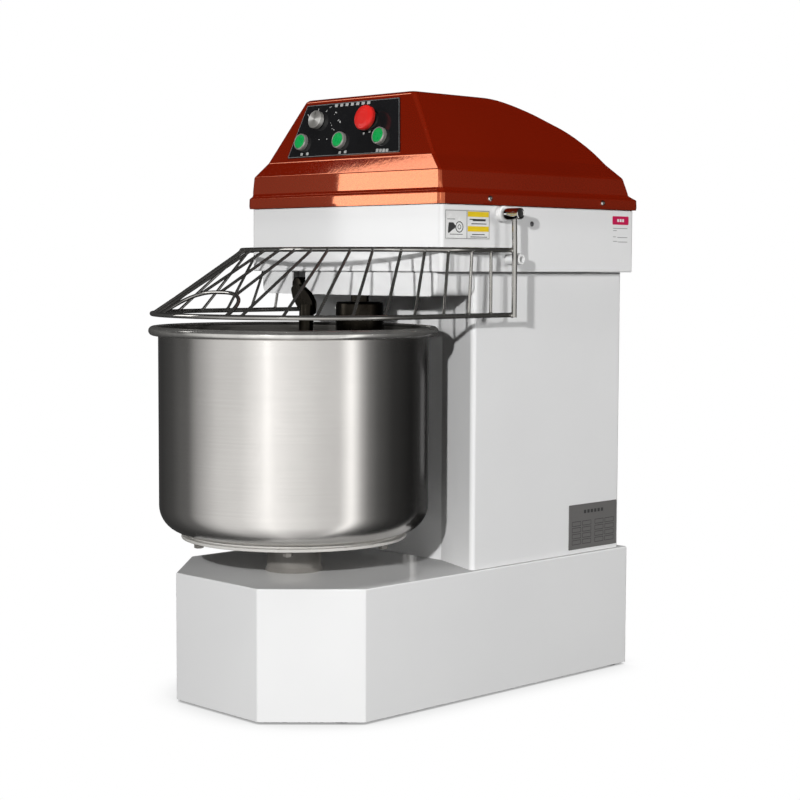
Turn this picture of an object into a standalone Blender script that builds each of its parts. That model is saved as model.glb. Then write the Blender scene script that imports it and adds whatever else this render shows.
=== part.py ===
"""Spiral dough mixer: sheet-steel base and column, overhanging head with a
moulded cover, rotating bowl, spiral hook, fixed centre bar and a hinged
wire guard.

Sizes are millimetres in the machine's own frame: X to the right as seen from
the front, Y rearwards from the base's front face, Z up from the underside of
the base.  Objects are placed in metres, with the floor at Z = 0.
Pieces stay unmerged: hidden helper meshes cut or extend them by modifiers."""

import math

import bmesh
import bpy
from mathutils import Vector

for old_object in list(bpy.data.objects):
    bpy.data.objects.remove(old_object, do_unlink=True)

# ---------------------------------------------------------------- dimensions
MM = 0.001
FOOT_GAP = 4.0            # underside of the base above the floor
Y_MID = 351.0             # machine Y that becomes world Y = 0
WORLD_ORIGIN = (0.0, Y_MID, -FOOT_GAP)
GAP = 0.4                 # standing gap between neighbouring pieces
SHEET = 3.0               # sheet thickness of the housings
SIDES = ((-1, "left"), (1, "right"))

BASE_HALF = 224.0         # half width
BASE_FRONT_HALF = 105.0   # half width of the front face
BASE_CHAMFER_Y = 124.0    # where the front chamfers end
BASE_LEN = 779.0
BASE_H = 213.8
BASE_CEILING = BASE_H - SHEET - GAP   # top of what hangs under the base's top sheet
BASE_OUTLINE = [
    (-BASE_FRONT_HALF, 0), (BASE_FRONT_HALF, 0), (BASE_HALF, BASE_CHAMFER_Y),
    (BASE_HALF, BASE_LEN), (-BASE_HALF, BASE_LEN), (-BASE_HALF, BASE_CHAMFER_Y),
]
# Name ending, centre X, centre Y.
FEET = [("front_left", -176, 118), ("front_right", 176, 118),
        ("rear_left", -197, 752), ("rear_right", 197, 752)]

HEAD_HALF = 238.7
HEAD_FRONT = 274.5
HEAD_REAR = 766.0
HEAD_Z0 = 713.8
HEAD_TOP = 823.8
PLATE_Z0, PLATE_Z1 = 735.0, 745.0     # bearing plate inside the head

COL_HALF = 218.0
COL_FRONT = 371.0         # front corners of the column
COL_RECESS = 414.0        # recessed front face behind the bowl
COL_RECESS_HALF = 105.0
COL_REAR = 759.0
COL_Z0 = BASE_H + GAP
COL_TOP = HEAD_Z0 - GAP
COL_CORNER = 7.0

NECK_HALF = 220.0
NECK_FRONT = 282.0
NECK_Z0 = 674.0
NECK_EDGE_R = 14.0        # rounding of the two lower edges

# Vertical axes, as (x, y).
BOWL_AXIS = (0.0, 168.0)
SPINDLE_AXIS = (0.0, 318.0)
LAYSHAFT_AXIS = (-60.0, 500.0)
MOTOR_AXIS = (90.0, 655.0)

BOWL_R = 225.0
BOWL_WALL = 2.5
BOWL_Z0 = 281.0
BOWL_CORNER = 45.0
RIM_R = 231.5
RIM_TUBE = 9.5
RIM_Z = 615.5

DISC_R = 188.4
DISC_Z = 271.0
DISC_THICK = 5.0
STEP_R = 178.0            # raised middle of the disc
BOLT_CIRCLE_R = 173.7
BOLT_COUNT = 6
BOLT_START = math.radians(-44.0)
BOLT_TOP = BOWL_Z0 - 3.0  # closed end of the bolt holes

BOWL_SPROCKET = 152.0
LAYSHAFT_SPROCKET = BOWL_SPROCKET / 8 + 2.0
SPINDLE_SPROCKET = 32.0   # same radius on the layshaft and the spindle
LOWER_SPROCKET_Z = (75, 83)
UPPER_SPROCKET_Z = (769, 777)
CHAIN_PLAY = 0.6          # chain outside the sprocket tips
CHAIN_MARGIN = 0.5        # chain short of the sprocket faces
LAYSHAFT_PULLEY = 130.0
MOTOR_PULLEY = LAYSHAFT_PULLEY / 3.25
FLANGE = 7.0              # pulley flanges beyond the belt surface
BELT_PLAY = 0.5

HUB_R = 42.0
HUB_Z0, HUB_Z1 = 588.0, 662.0
HUB_CHAMFER = 3.0
HOOK_R = 49.0             # helix radius of the hook's centre line
HOOK_ROD = 16.0
HOOK_START_R = 22.0       # radius of the centre line inside the hub
HOOK_HIGH, HOOK_LOW = 602.0, 308.0
HOOK_TOE_DRAW = 30.0      # how far the toe turns in towards the axis
HOOK_START_ANGLE = math.radians(150)
HOOK_TURNS = 1.75
HOOK_STEPS = 40

BAR_STEPS = 10            # steps along the centre bar

# Sloping front of the cover.
ROOF_Z = 1013.0
ROOF_FRONT = 312.0
KNEE_Z = 905.0
KNEE_Y = 286.0
PANEL_LEAN = math.atan2(ROOF_FRONT - KNEE_Y, ROOF_Z - KNEE_Z)

COVER_HALF = 245.0
COVER_Z0 = HEAD_TOP + GAP
COVER_WALL = 5.0
COVER_ROOF = 3.0
# Levels of the cover: height, half width, front Y, rear Y, corner radius.
COVER_LEVELS = [
    (COVER_Z0, COVER_HALF, 268.0, 772.0, 11.5), (843.0, COVER_HALF, 268.0, 772.0, 11.5),
    (847.0, 241.0, 271.5, 765.0, 9.0), (853.0, 237.5, 273.0, 752.0, 6.0),
    (880.0, 235.0, 274.5, 738.0, 6.0), (893.0, 221.5, 281.0, 731.0, 6.0),
    (KNEE_Z, 208.5, KNEE_Y, 722.0, 6.0), (930.0, 191.5, 292.0, 706.0, 6.5),
    (960.0, 171.5, 299.2, 667.0, 7.0), (990.0, 151.0, 306.5, 594.0, 8.0),
    (1004.0, 142.0, 309.8, 549.0, 8.0), (ROOF_Z, 135.0, 312.6, 503.0, 8.0),
]
SCREW_Z = 835
SCREW_ROWS = ((381, "front"), (670, "rear"))

# Places on the control face: X, distance up the slope from the knee.
KNOB_PLACE = (-89.2, 71.9)
STOP_PLACE = (51.5, 62.0)
BUTTON_PLACES = {"left": (-116.6, 34.7), "middle": (-18.0, 32.1), "right": (81.0, 34.4)}
PANEL_OUTLINE = [(-154.4, 5.8), (130.8, 5.5), (107.1, 101.0), (-125.4, 100.7)]
PANEL_BACK = 0.6          # panel's back off the control face
PANEL_FRONT = PANEL_BACK + 1.6

PIVOT_Y, PIVOT_Z = 415.0, 810.0  # guard hinge
RAIL_HALF = 261.0
ARM_X = 267.5
ARM_Y = 418.0
RAIL_WIRE = 4.0           # wire sizes are radii
ARM_WIRE = RAIL_WIRE + 0.3
BAR_WIRE = 2.6
LOOP_WIRE = BAR_WIRE + 0.6
RAIL_ARC_STEPS = 240      # for measuring lengths along a rail
# Where the bars meet the lower and the upper rail: length along the rail
# from the right arm round to the left one.
LOW_STATIONS = [
    50, 102, 160, 225, 283.5, 338.5, 395.5, 447.5, 516.5, 578, 625,
    678, 745, 792, 843, 896, 952, 1014, 1071, 1126, 1183.5,
]
TOP_STATIONS = [
    50, 94, 138, 177, 215, 261.5, 300, 341.5, 374, 411.5, 450,
    492.5, 547, 580.6, 614.3, 647.9, 681.5, 715.1, 748.8, 782.4, 816,
]
LAST_BAR = len(LOW_STATIONS) - 1
LOOP_START = 0.422        # where the loop starts, as a fraction across the bars
LOOP_RISE = 0.345         # its height, as a fraction of the bars' length
LOOP_POWER = 0.7          # below 1 makes the loop squarer than an ellipse

# Object origins on the axes of the moving pieces.
BOWL_ORIGIN = (*BOWL_AXIS, BOWL_Z0)
LAYSHAFT_ORIGIN = (*LAYSHAFT_AXIS, 60)
MOTOR_ORIGIN = (*MOTOR_AXIS, 480)
HOOK_ORIGIN = (*SPINDLE_AXIS, HUB_Z0)
GUARD_ORIGIN = (0, PIVOT_Y, PIVOT_Z)


# ----------------------------------------------------------------- materials
def material(name, colour, roughness, metallic=0.0):
    mat = bpy.data.materials.get(name) or bpy.data.materials.new(name)
    mat.use_nodes = True
    inputs = mat.node_tree.nodes["Principled BSDF"].inputs
    inputs["Base Color"].default_value = (*colour, 1.0)
    inputs["Roughness"].default_value = roughness
    inputs["Metallic"].default_value = metallic
    return mat


WHITE = material("white_paint", colour=(0.80, 0.80, 0.80), roughness=0.35)
RED = material("red_cover_paint", colour=(0.42, 0.05, 0.012), roughness=0.18)
STEEL = material("stainless", colour=(0.62, 0.60, 0.57), roughness=0.28, metallic=1.0)
CHROME = material("chrome", colour=(0.70, 0.70, 0.70), roughness=0.10, metallic=1.0)
DARK = material("dark_steel", colour=(0.11, 0.10, 0.09), roughness=0.4, metallic=1.0)
IRON = material("cast_iron", colour=(0.20, 0.20, 0.21), roughness=0.6, metallic=1.0)
RUBBER = material("rubber", colour=(0.02, 0.02, 0.02), roughness=0.8)
BLACK = material("panel_black", colour=(0.01, 0.01, 0.01), roughness=0.25)
GREEN = material("button_green", colour=(0.0, 0.30, 0.06), roughness=0.3)
STOP_RED = material("stop_red", colour=(0.70, 0.02, 0.01), roughness=0.3)
ALUMINIUM = material("aluminium", colour=(0.66, 0.66, 0.67), roughness=0.35, metallic=1.0)


# ------------------------------------------------------------------- objects
def world(point):
    x, y, z = point
    return Vector((x * MM, (y - Y_MID) * MM, (z + FOOT_GAP) * MM))


def link_mesh(name, bm, origin):
    """Turns a bmesh in machine millimetres into an object with the given origin."""
    bmesh.ops.recalc_face_normals(bm, faces=bm.faces)
    location = world(origin)
    for vert in bm.verts:
        vert.co = world(vert.co) - location
    mesh = bpy.data.meshes.new(name)
    bm.to_mesh(mesh)
    bm.free()
    ob = bpy.data.objects.new(name, mesh)
    ob.location = location
    bpy.context.scene.collection.objects.link(ob)
    return ob


def solid(name, bm, mat, origin=WORLD_ORIGIN, smooth=False):
    ob = link_mesh(name, bm, origin)
    ob.data.materials.append(mat)
    if smooth:
        ob.data.shade_smooth()
        ob.data.set_sharp_from_angle(angle=math.radians(35))
    return ob


def helper(name, bm, origin=WORLD_ORIGIN):
    """A hidden operand for boolean modifiers."""
    ob = link_mesh(name, bm, origin)
    ob.hide_render = True
    ob.display_type = "WIRE"
    return ob


def boolean(ob, operand, operation):
    modifier = ob.modifiers.new(operation.lower(), "BOOLEAN")
    modifier.operation = operation
    modifier.solver = "EXACT"
    modifier.object = operand


def cut(ob, name, bm):
    boolean(ob, helper(name, bm), "DIFFERENCE")


def add(ob, name, bm, origin=WORLD_ORIGIN):
    boolean(ob, helper(name, bm, origin), "UNION")


# ------------------------------------------------------------------ outlines
def on_circle(centre, radius, angle):
    return (centre[0] + radius * math.cos(angle), centre[1] + radius * math.sin(angle))


def circle(centre, radius, steps):
    return [on_circle(centre, radius, 2 * math.pi * i / steps) for i in range(steps)]


def rectangle(x0, x1, y0, y1):
    return [(x0, y0), (x1, y0), (x1, y1), (x0, y1)]


def corners(outline):
    """Each corner of an outline between its two neighbours."""
    points = [Vector(point) for point in outline]
    return zip(points[-1:] + points[:-1], points, points[1:] + points[:1])


def inset(outline, distance):
    """Moves the sides of a counter-clockwise outline inwards, mitred."""
    result = []
    for before, corner, after in corners(outline):
        side_in = (corner - before).normalized()
        side_out = (after - corner).normalized()
        normal_in = Vector((-side_in.y, side_in.x))
        normal_out = Vector((-side_out.y, side_out.x))
        mitre = normal_in + normal_out
        mitre = mitre / mitre.dot(normal_in)
        result.append((corner.x + mitre.x * distance, corner.y + mitre.y * distance))
    return result


def rounded(outline, radii, steps):
    """Replaces each corner by an arc of its own radius; 0 keeps it sharp."""
    result = []
    for (before, corner, after), radius in zip(corners(outline), radii):
        if radius == 0:
            result.append((corner.x, corner.y))
            continue
        to_before = (before - corner).normalized()
        to_after = (after - corner).normalized()
        half_angle = to_before.angle(to_after) / 2.0
        reach = radius / math.tan(half_angle)
        bisector = (to_before + to_after).normalized()
        centre = corner + bisector * (radius / math.sin(half_angle))
        start = (corner + to_before * reach) - centre
        end = (corner + to_after * reach) - centre
        start_angle = math.atan2(start.y, start.x)
        sweep = math.atan2(start.x * end.y - start.y * end.x, start.dot(end))
        for i in range(steps + 1):
            result.append(on_circle(centre, radius, start_angle + sweep * i / steps))
    return result


def gear(centre, tip, teeth, depth):
    """Toothed outline; each tooth is four points given as fractions of the pitch."""
    pitch = 2 * math.pi / teeth
    root = tip - depth
    result = []
    for i in range(teeth):
        for fraction, radius in ((-0.30, root), (-0.14, tip), (0.14, tip), (0.30, root)):
            result.append(on_circle(centre, radius, pitch * i + fraction * pitch))
    return result


# -------------------------------------------------------------------- solids
def bridge(bm, lower, upper):
    """Faces between two rings of vertices; one may be a single vertex."""
    count = max(len(lower), len(upper))
    for j in range(count):
        k = (j + 1) % count
        if len(lower) == 1:
            bm.faces.new((lower[0], upper[k], upper[j]))
        elif len(upper) == 1:
            bm.faces.new((lower[j], lower[k], upper[0]))
        else:
            bm.faces.new((lower[j], lower[k], upper[k], upper[j]))


def skin(rings, closed=False, bm=None):
    """Skins rings of points; closed joins the last to the first, else the ends are capped."""
    bm = bm or bmesh.new()
    levels = [[bm.verts.new(point) for point in ring] for ring in rings]
    following = levels[1:] + (levels[:1] if closed else [])
    for lower, upper in zip(levels, following):
        bridge(bm, lower, upper)
    if not closed:
        bm.faces.new(levels[0][::-1])
        bm.faces.new(levels[-1])
    return bm


def prism(outline, z0, z1, bm=None):
    return skin([[(x, y, z) for x, y in outline] for z in (z0, z1)], bm=bm)


def box(x0, x1, y0, y1, z0, z1, bm=None):
    return prism(rectangle(x0, x1, y0, y1), z0, z1, bm=bm)


def z_axis(centre):
    return ((*centre, 0), (1, 0, 0), (0, 1, 0), (0, 0, 1))


def x_axis(x, y, z, side):
    return ((x, y, z), (0, 1, 0), (0, 0, 1), (side, 0, 0))


def rod(radius, low, high):
    """Lathe profile of a plain cylinder."""
    return [(0, low), (radius, low), (radius, high), (0, high)]


def sleeve(inner, outer, low, high):
    """Lathe profile of a plain ring."""
    return [(inner, low), (inner, high), (outer, high), (outer, low)]


def lathe(profile, steps, axis, bm=None):
    """Turns a profile of (radius, height) about axis = (origin, u, v, direction).
    A profile starting at radius 0 also ends there; any other is a closed ring."""
    bm = bm or bmesh.new()
    origin, u, v, direction = (Vector(part) for part in axis)
    rings = []
    for radius, height in profile:
        centre = origin + direction * height
        if radius == 0:
            rings.append([bm.verts.new(centre)])
            continue
        angles = [2 * math.pi * i / steps for i in range(steps)]
        rings.append([bm.verts.new(centre + (u * math.cos(a) + v * math.sin(a)) * radius)
                      for a in angles])
    following = rings[1:] + (rings[:1] if profile[0][0] > 0 else [])
    for lower, upper in zip(rings, following):
        bridge(bm, lower, upper)
    return bm


def turned(name, profile, steps, axis, mat, **options):
    return solid(name, lathe(profile, steps, axis), mat, **options)


def tube(points, radius, steps, bm=None, phase=0.0):
    """Sweeps a round section along points, carrying its orientation from point
    to point.  radius may be a list with one value per point."""
    points = [Vector(point) for point in points]
    radii = radius if isinstance(radius, list) else [radius] * len(points)
    spans = [end - start for start, end in zip(points, points[1:])]
    units = [span.normalized() for span in spans]
    tangents = [units[0]]
    tangents += [(after + before).normalized() for before, after in zip(units, units[1:])]
    tangents.append(units[-1])
    first = tangents[0]
    reference = Vector((0, 0, 1)) if abs(first.z) < 0.9 else Vector((1, 0, 0))
    normal = (reference - first * reference.dot(first)).normalized()
    rings = []
    for i, (point, tangent) in enumerate(zip(points, tangents)):
        normal = (normal - tangent * normal.dot(tangent)).normalized()
        binormal = tangent.cross(normal)
        # The section widens at bends, so that the rod doesn't thin there.
        bend = max(0.5, tangent.dot(units[i])) if 0 < i < len(units) else 1.0
        ring = []
        for k in range(steps):
            angle = phase + 2 * math.pi * k / steps
            spoke = normal * math.cos(angle) + binormal * math.sin(angle)
            ring.append(point + spoke * radii[i] / bend ** 0.5)
        rings.append(ring)
    return skin(rings, bm=bm)


def belt_outline(centre1, radius1, centre2, radius2, grow):
    """Outline round two circles, its arcs drawn as chords that stay outside them."""
    dx, dy = centre2[0] - centre1[0], centre2[1] - centre1[1]
    heading = math.atan2(dy, dx)
    contact = math.acos((radius1 - radius2) / math.hypot(dx, dy))
    steps2 = 9
    steps1 = max(6, int(steps2 * (1.0 + radius1 / 90.0)))
    outer1 = radius1 / math.cos((math.pi - contact) / steps1) + grow
    outer2 = radius2 / math.cos(contact / steps2) + grow
    sweep1 = 2 * math.pi - 2 * contact
    arc1 = [on_circle(centre1, outer1, heading + contact + sweep1 * i / steps1)
            for i in range(steps1 + 1)]
    arc2 = [on_circle(centre2, outer2, heading - contact + 2 * contact * i / steps2)
            for i in range(steps2 + 1)]
    return arc1 + arc2


def belt(centre1, radius1, centre2, radius2, thick, z0, z1):
    inner = belt_outline(centre1, radius1, centre2, radius2, 0.0)
    outer = belt_outline(centre1, radius1, centre2, radius2, thick)
    levels = ((inner, z0), (outer, z0), (outer, z1), (inner, z1))
    return skin([[(x, y, z) for x, y in outline] for outline, z in levels], closed=True)


# ---------------------------------------------------------------------- base
def build_base():
    base = solid("base_housing", prism(rounded(BASE_OUTLINE, [5.0] * 6, 2), 0, BASE_H), WHITE)
    cut(base, "cut_base_inside", prism(inset(BASE_OUTLINE, SHEET), SHEET, BASE_H - SHEET))
    cut(base, "cut_base_bottom", prism(inset(BASE_OUTLINE, 45.0), -2.0, SHEET + 2.0))
    holes = prism(circle(BOWL_AXIS, 47.5, 24), BASE_H - 8, BASE_H + 8)
    prism(circle(LAYSHAFT_AXIS, 23.0, 12), BASE_H - 8, BASE_H + 8, bm=holes)
    for _, x, y in FEET:
        prism(circle((x, y), 7.0, 8), -3, SHEET + 3, bm=holes)
    cut(base, "cut_base_holes", holes)


def build_feet():
    profile = [(0, -FOOT_GAP), (20, -FOOT_GAP), (18, -GAP), (6, -GAP), (6, 16), (0, 16)]
    for place, x, y in FEET:
        turned("foot_" + place, profile, 14, z_axis((x, y)), RUBBER)


# -------------------------------------------------------- bowl and its drive
def build_bowl_bearing():
    housing = [(39.0, 110), (39.0, 262), (45.5, 262), (45.5, BASE_CEILING),
               (75, BASE_CEILING), (75, 198), (48, 198), (48, 110)]
    axis = z_axis(BOWL_AXIS)
    turned("bowl_bearing_housing", housing, 24, axis, WHITE, smooth=True)
    turned("bowl_bearing", sleeve(25.8, 38.0, 120, 255), 24, axis, STEEL, smooth=True)


def build_bowl_shaft():
    profile = [(0, 60), (25, 60), (25, 262.5), (44, 262.5), (44, DISC_Z - GAP), (0, DISC_Z - GAP)]
    turned("bowl_shaft", profile, 24, z_axis(BOWL_AXIS), STEEL, origin=BOWL_ORIGIN, smooth=True)
    outline = gear(BOWL_AXIS, BOWL_SPROCKET, 32, 5.0)
    sprocket = solid("bowl_sprocket", prism(outline, *LOWER_SPROCKET_Z), IRON, BOWL_ORIGIN)
    cut(sprocket, "cut_bowl_sprocket", prism(circle(BOWL_AXIS, 26.0, 24), 60, 99))


def build_bowl():
    corner_r, corner_z = BOWL_R - BOWL_CORNER, BOWL_Z0 + BOWL_CORNER
    inner_corner = BOWL_CORNER - BOWL_WALL
    corner = (corner_r, corner_z)
    profile = [(0, BOWL_Z0)]
    profile += [on_circle(corner, BOWL_CORNER, math.radians(-90 + 22.5 * i)) for i in range(5)]
    profile.append((BOWL_R, RIM_Z - 7.4))
    profile += [on_circle((RIM_R, RIM_Z), RIM_TUBE, math.radians(-133 + 37.7 * i))
                for i in range(1, 8)]
    profile.append((BOWL_R - BOWL_WALL, RIM_Z - 1.0))
    profile += [on_circle(corner, inner_corner, math.radians(-22.5 * i)) for i in range(5)]
    profile.append((0, BOWL_Z0 + BOWL_WALL))
    turned("bowl", profile, 40, z_axis(BOWL_AXIS), STEEL, origin=BOWL_ORIGIN, smooth=True)


def build_bowl_disc():
    step_z, top = DISC_Z + DISC_THICK, BOWL_Z0 - GAP
    profile = [(0, DISC_Z), (DISC_R, DISC_Z), (DISC_R, step_z),
               (STEP_R, step_z), (STEP_R, top), (0, top)]
    disc = turned("bowl_disc", profile, 40, z_axis(BOWL_AXIS), WHITE,
                  origin=BOWL_ORIGIN, smooth=True)
    places = [on_circle(BOWL_AXIS, BOLT_CIRCLE_R, BOLT_START + 2 * math.pi * i / BOLT_COUNT)
              for i in range(BOLT_COUNT)]
    holes = bmesh.new()
    for place in places:
        prism(circle(place, 4.6, 8), DISC_Z - 3, BOLT_TOP, bm=holes)
    cut(disc, "cut_disc_holes", holes)
    bolt = [(0, DISC_Z - 7.2), (6.6, DISC_Z - 7.2), (7.5, DISC_Z - 6.4), (7.5, DISC_Z - GAP),
            (4.0, DISC_Z - GAP), (4.0, BOLT_TOP - 0.6), (0, BOLT_TOP - 0.6)]
    for i, place in enumerate(places, 1):
        turned(f"bowl_bolt_{i}", bolt, 6, z_axis(place), STEEL, origin=BOWL_ORIGIN)


# ----------------------------------------------------- column, neck and head
def build_column():
    sharp = [(COL_RECESS_HALF, COL_RECESS), (COL_HALF, COL_FRONT), (COL_HALF, COL_REAR),
             (-COL_HALF, COL_REAR), (-COL_HALF, COL_FRONT), (-COL_RECESS_HALF, COL_RECESS)]
    outer = rounded(sharp, [0, *[COL_CORNER] * 4, 0], 2)
    inner = rounded(inset(sharp, SHEET), [0, *[COL_CORNER - SHEET] * 4, 0], 2)
    column = solid("column_housing", prism(outer, COL_Z0, COL_TOP), WHITE)
    cut(column, "cut_column_inside", prism(inner, COL_Z0 - 5, COL_TOP + 5))
    cut(column, "cut_column_rear", box(-150, 150, COL_REAR - 12, COL_REAR + 12, 290, 630))


def build_rear_cover():
    y = COL_REAR + GAP
    cover = solid("rear_cover", box(-165, 165, y, y + 2.0, 275, 645), WHITE)
    louvres = bmesh.new()
    for i in range(8):
        z = 340 + 34 * i
        for x in (-75, 75):
            box(x - 55, x + 55, COL_REAR - 5, COL_REAR + 9, z, z + 7, bm=louvres)
    cut(cover, "cut_louvres", louvres)


def build_rating_plate():
    x = COL_HALF + GAP
    solid("rating_plate", box(x, x + 1.0, 620, 751, 222, 302), ALUMINIUM)


def neck_rings(edge_radius, top, wall):
    """Rings of the neck from its underside up, inset by wall."""
    clearance = 2 * GAP
    corner_y, recess_y = COL_FRONT - clearance, COL_RECESS - clearance
    rings = []
    for i in range(6):
        angle = math.pi / 2 * i / 5
        half = NECK_HALF - NECK_EDGE_R + edge_radius * math.sin(angle) + wall
        outline = [(-half, NECK_FRONT), (half, NECK_FRONT), (half, corner_y),
                   (COL_RECESS_HALF, recess_y), (-COL_RECESS_HALF, recess_y), (-half, corner_y)]
        if wall:
            outline = inset(outline, wall)
        else:
            outline = rounded(outline, [5, 5, 0, 0, 0, 0], 2)
        z = NECK_Z0 + NECK_EDGE_R - edge_radius * math.cos(angle)
        rings.append([(x, y, z) for x, y in outline])
    rings.append([(x, y, top) for x, y, _ in rings[-1]])
    return rings


def build_neck():
    neck = solid("neck_housing", skin(neck_rings(NECK_EDGE_R, COL_TOP, 0.0)), WHITE)
    cut(neck, "cut_neck_inside", skin(neck_rings(NECK_EDGE_R - SHEET, COL_TOP + 9, SHEET)))
    # Round hole for the spindle and a slot for the centre bar.
    holes = prism(circle(SPINDLE_AXIS, 19.0, 16), NECK_Z0 - 5, NECK_Z0 + 9)
    box(-137, -102, NECK_FRONT - 9, NECK_FRONT + 9, 683, COL_TOP + 9, bm=holes)
    cut(neck, "cut_neck_holes", holes)


def build_head():
    outline = rectangle(-HEAD_HALF, HEAD_HALF, HEAD_FRONT, HEAD_REAR)
    head = solid("head_housing", prism(rounded(outline, [7.0] * 4, 3), HEAD_Z0, HEAD_TOP), WHITE)
    cut(head, "cut_head_inside", prism(inset(outline, SHEET), HEAD_Z0 + SHEET, HEAD_TOP + 9))
    cut(head, "cut_head_floor", box(-204, 204, 284, 750, HEAD_Z0 - 9, HEAD_Z0 + 5))


def build_head_plate():
    plate = solid("head_plate", box(-232, 232, 281, 585, PLATE_Z0, PLATE_Z1), IRON)
    holes = prism(circle(SPINDLE_AXIS, 26.0, 16), PLATE_Z0 - 10, PLATE_Z1 + 10)
    prism(circle(LAYSHAFT_AXIS, 20.5, 12), PLATE_Z0 - 10, PLATE_Z1 + 10, bm=holes)
    cut(plate, "cut_head_plate", holes)


def build_shaft_bearings():
    top = PLATE_Z0 - 0.5
    spindle = z_axis(SPINDLE_AXIS)
    housing = [(25.0, 678), (25.0, top), (38, top), (38, 724), (33, 724), (33, 678)]
    turned("spindle_bearing_housing", housing, 18, spindle, IRON, smooth=True)
    turned("spindle_bearing", sleeve(16.8, 24.0, 684, 730), 18, spindle, STEEL, smooth=True)

    layshaft = z_axis(LAYSHAFT_AXIS)
    seat = PLATE_Z1 + GAP
    upper = [(18.4, seat), (18.4, 764), (30, 764), (30, 757), (46, 757), (46, seat)]
    turned("layshaft_bearing_upper", upper, 16, layshaft, IRON, smooth=True)
    lower = [(18.4, 184), (18.4, BASE_CEILING), (50, BASE_CEILING),
             (50, 200), (30, 200), (30, 184)]
    turned("layshaft_bearing_lower", lower, 16, layshaft, IRON, smooth=True)


# --------------------------------------------------------------- drive train
def build_layshaft():
    axis = z_axis(LAYSHAFT_AXIS)
    shaft = turned("layshaft", rod(17.5, 62, 900), 16, axis, STEEL, origin=LAYSHAFT_ORIGIN)
    sprockets = prism(gear(LAYSHAFT_AXIS, LAYSHAFT_SPROCKET, 8, 3.2), *LOWER_SPROCKET_Z)
    prism(gear(LAYSHAFT_AXIS, SPINDLE_SPROCKET, 14, 5.0), *UPPER_SPROCKET_Z, bm=sprockets)
    add(shaft, "add_lay_sprockets", sprockets, LAYSHAFT_ORIGIN)

    flange = LAYSHAFT_PULLEY + FLANGE
    pulley = [(18.2, 856), (18.2, 886), (flange, 886), (flange, 882),
              (LAYSHAFT_PULLEY, 880), (LAYSHAFT_PULLEY, 862), (flange, 860), (flange, 856)]
    turned("layshaft_pulley", pulley, 32, axis, IRON, origin=LAYSHAFT_ORIGIN, smooth=True)


def build_motor():
    axis = z_axis(MOTOR_AXIS)
    flange = MOTOR_PULLEY + FLANGE
    pulley = [(0, 484), (12, 484), (12, 852), (flange, 852), (flange, 860),
              (MOTOR_PULLEY, 862), (MOTOR_PULLEY, 880), (flange, 882), (flange, 888),
              (12, 888), (12, 893), (0, 893)]
    turned("motor_pulley", pulley, 18, axis, IRON, origin=MOTOR_ORIGIN, smooth=True)
    body = [(0, 330), (70, 330), (86, 344), (86, 536), (64, 553), (13, 553), (13, 480), (0, 480)]
    turned("motor", body, 24, axis, IRON, smooth=True)
    bracket = box(-6, COL_HALF - SHEET - GAP, 575, COL_REAR - SHEET - 8.0, 556, 566)
    bracket = solid("motor_bracket", bracket, IRON)
    cut(bracket, "cut_bracket", prism(circle(MOTOR_AXIS, 16, 12), 550, 572))


def build_chain(name, centre1, tip1, centre2, tip2, thick, sprocket_z):
    z0, z1 = sprocket_z
    solid(name, belt(centre1, tip1 + CHAIN_PLAY, centre2, tip2 + CHAIN_PLAY, thick,
                     z0 + CHAIN_MARGIN, z1 - CHAIN_MARGIN), IRON)


def build_belt_and_chains():
    solid("drive_belt", belt(LAYSHAFT_AXIS, LAYSHAFT_PULLEY + BELT_PLAY,
                             MOTOR_AXIS, MOTOR_PULLEY + BELT_PLAY, 9.0, 863, 879), RUBBER)
    build_chain("spindle_chain", LAYSHAFT_AXIS, SPINDLE_SPROCKET,
                SPINDLE_AXIS, SPINDLE_SPROCKET, 4.0, UPPER_SPROCKET_Z)
    build_chain("bowl_chain", BOWL_AXIS, BOWL_SPROCKET,
                LAYSHAFT_AXIS, LAYSHAFT_SPROCKET, 5.0, LOWER_SPROCKET_Z)


# ----------------------------------------------- spindle, hook and centre bar
def build_spindle():
    shaft = turned("spindle_shaft", rod(16, HUB_Z1 + 0.5, 800), 14, z_axis(SPINDLE_AXIS),
                   STEEL, origin=HOOK_ORIGIN)
    sprocket = prism(gear(SPINDLE_AXIS, SPINDLE_SPROCKET, 14, 5.0), *UPPER_SPROCKET_Z)
    add(shaft, "add_spindle_sprocket", sprocket, HOOK_ORIGIN)


def hook_point(t):
    """Centre line of the spiral, t from 0 in the hub to 1 at the toe."""
    angle = HOOK_START_ANGLE - 2 * math.pi * HOOK_TURNS * t
    z = HOOK_HIGH + (HOOK_LOW - HOOK_HIGH) * min(1.0, t / 0.97) ** 0.96
    grow = min(1.0, t / 0.16)
    grow = grow * grow * (3 - 2 * grow)   # eases the radius out of the hub
    shrink = max(0.0, (t - 0.80) / 0.20)
    radius = HOOK_START_R + (HOOK_R - HOOK_START_R) * grow - HOOK_TOE_DRAW * shrink ** 1.5
    return (*on_circle(SPINDLE_AXIS, radius, angle), z)


def build_hook():
    shoulder = HUB_R - HUB_CHAMFER
    hub = [(0, HUB_Z0), (shoulder, HUB_Z0), (HUB_R, HUB_Z0 + HUB_CHAMFER),
           (HUB_R, HUB_Z1 - HUB_CHAMFER), (shoulder, HUB_Z1), (0, HUB_Z1)]
    hook = turned("spiral_hook", hub, 24, z_axis(SPINDLE_AXIS), DARK,
                  origin=HOOK_ORIGIN, smooth=True)
    stations = [i / HOOK_STEPS for i in range(HOOK_STEPS + 1)]
    # The rod loses 35 % of its radius over the last quarter.
    radii = [HOOK_ROD * (1.0 - 0.35 * max(0.0, (t - 0.75) / 0.25)) for t in stations]
    add(hook, "add_spiral", tube([hook_point(t) for t in stations], radii, 8), HOOK_ORIGIN)


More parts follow.
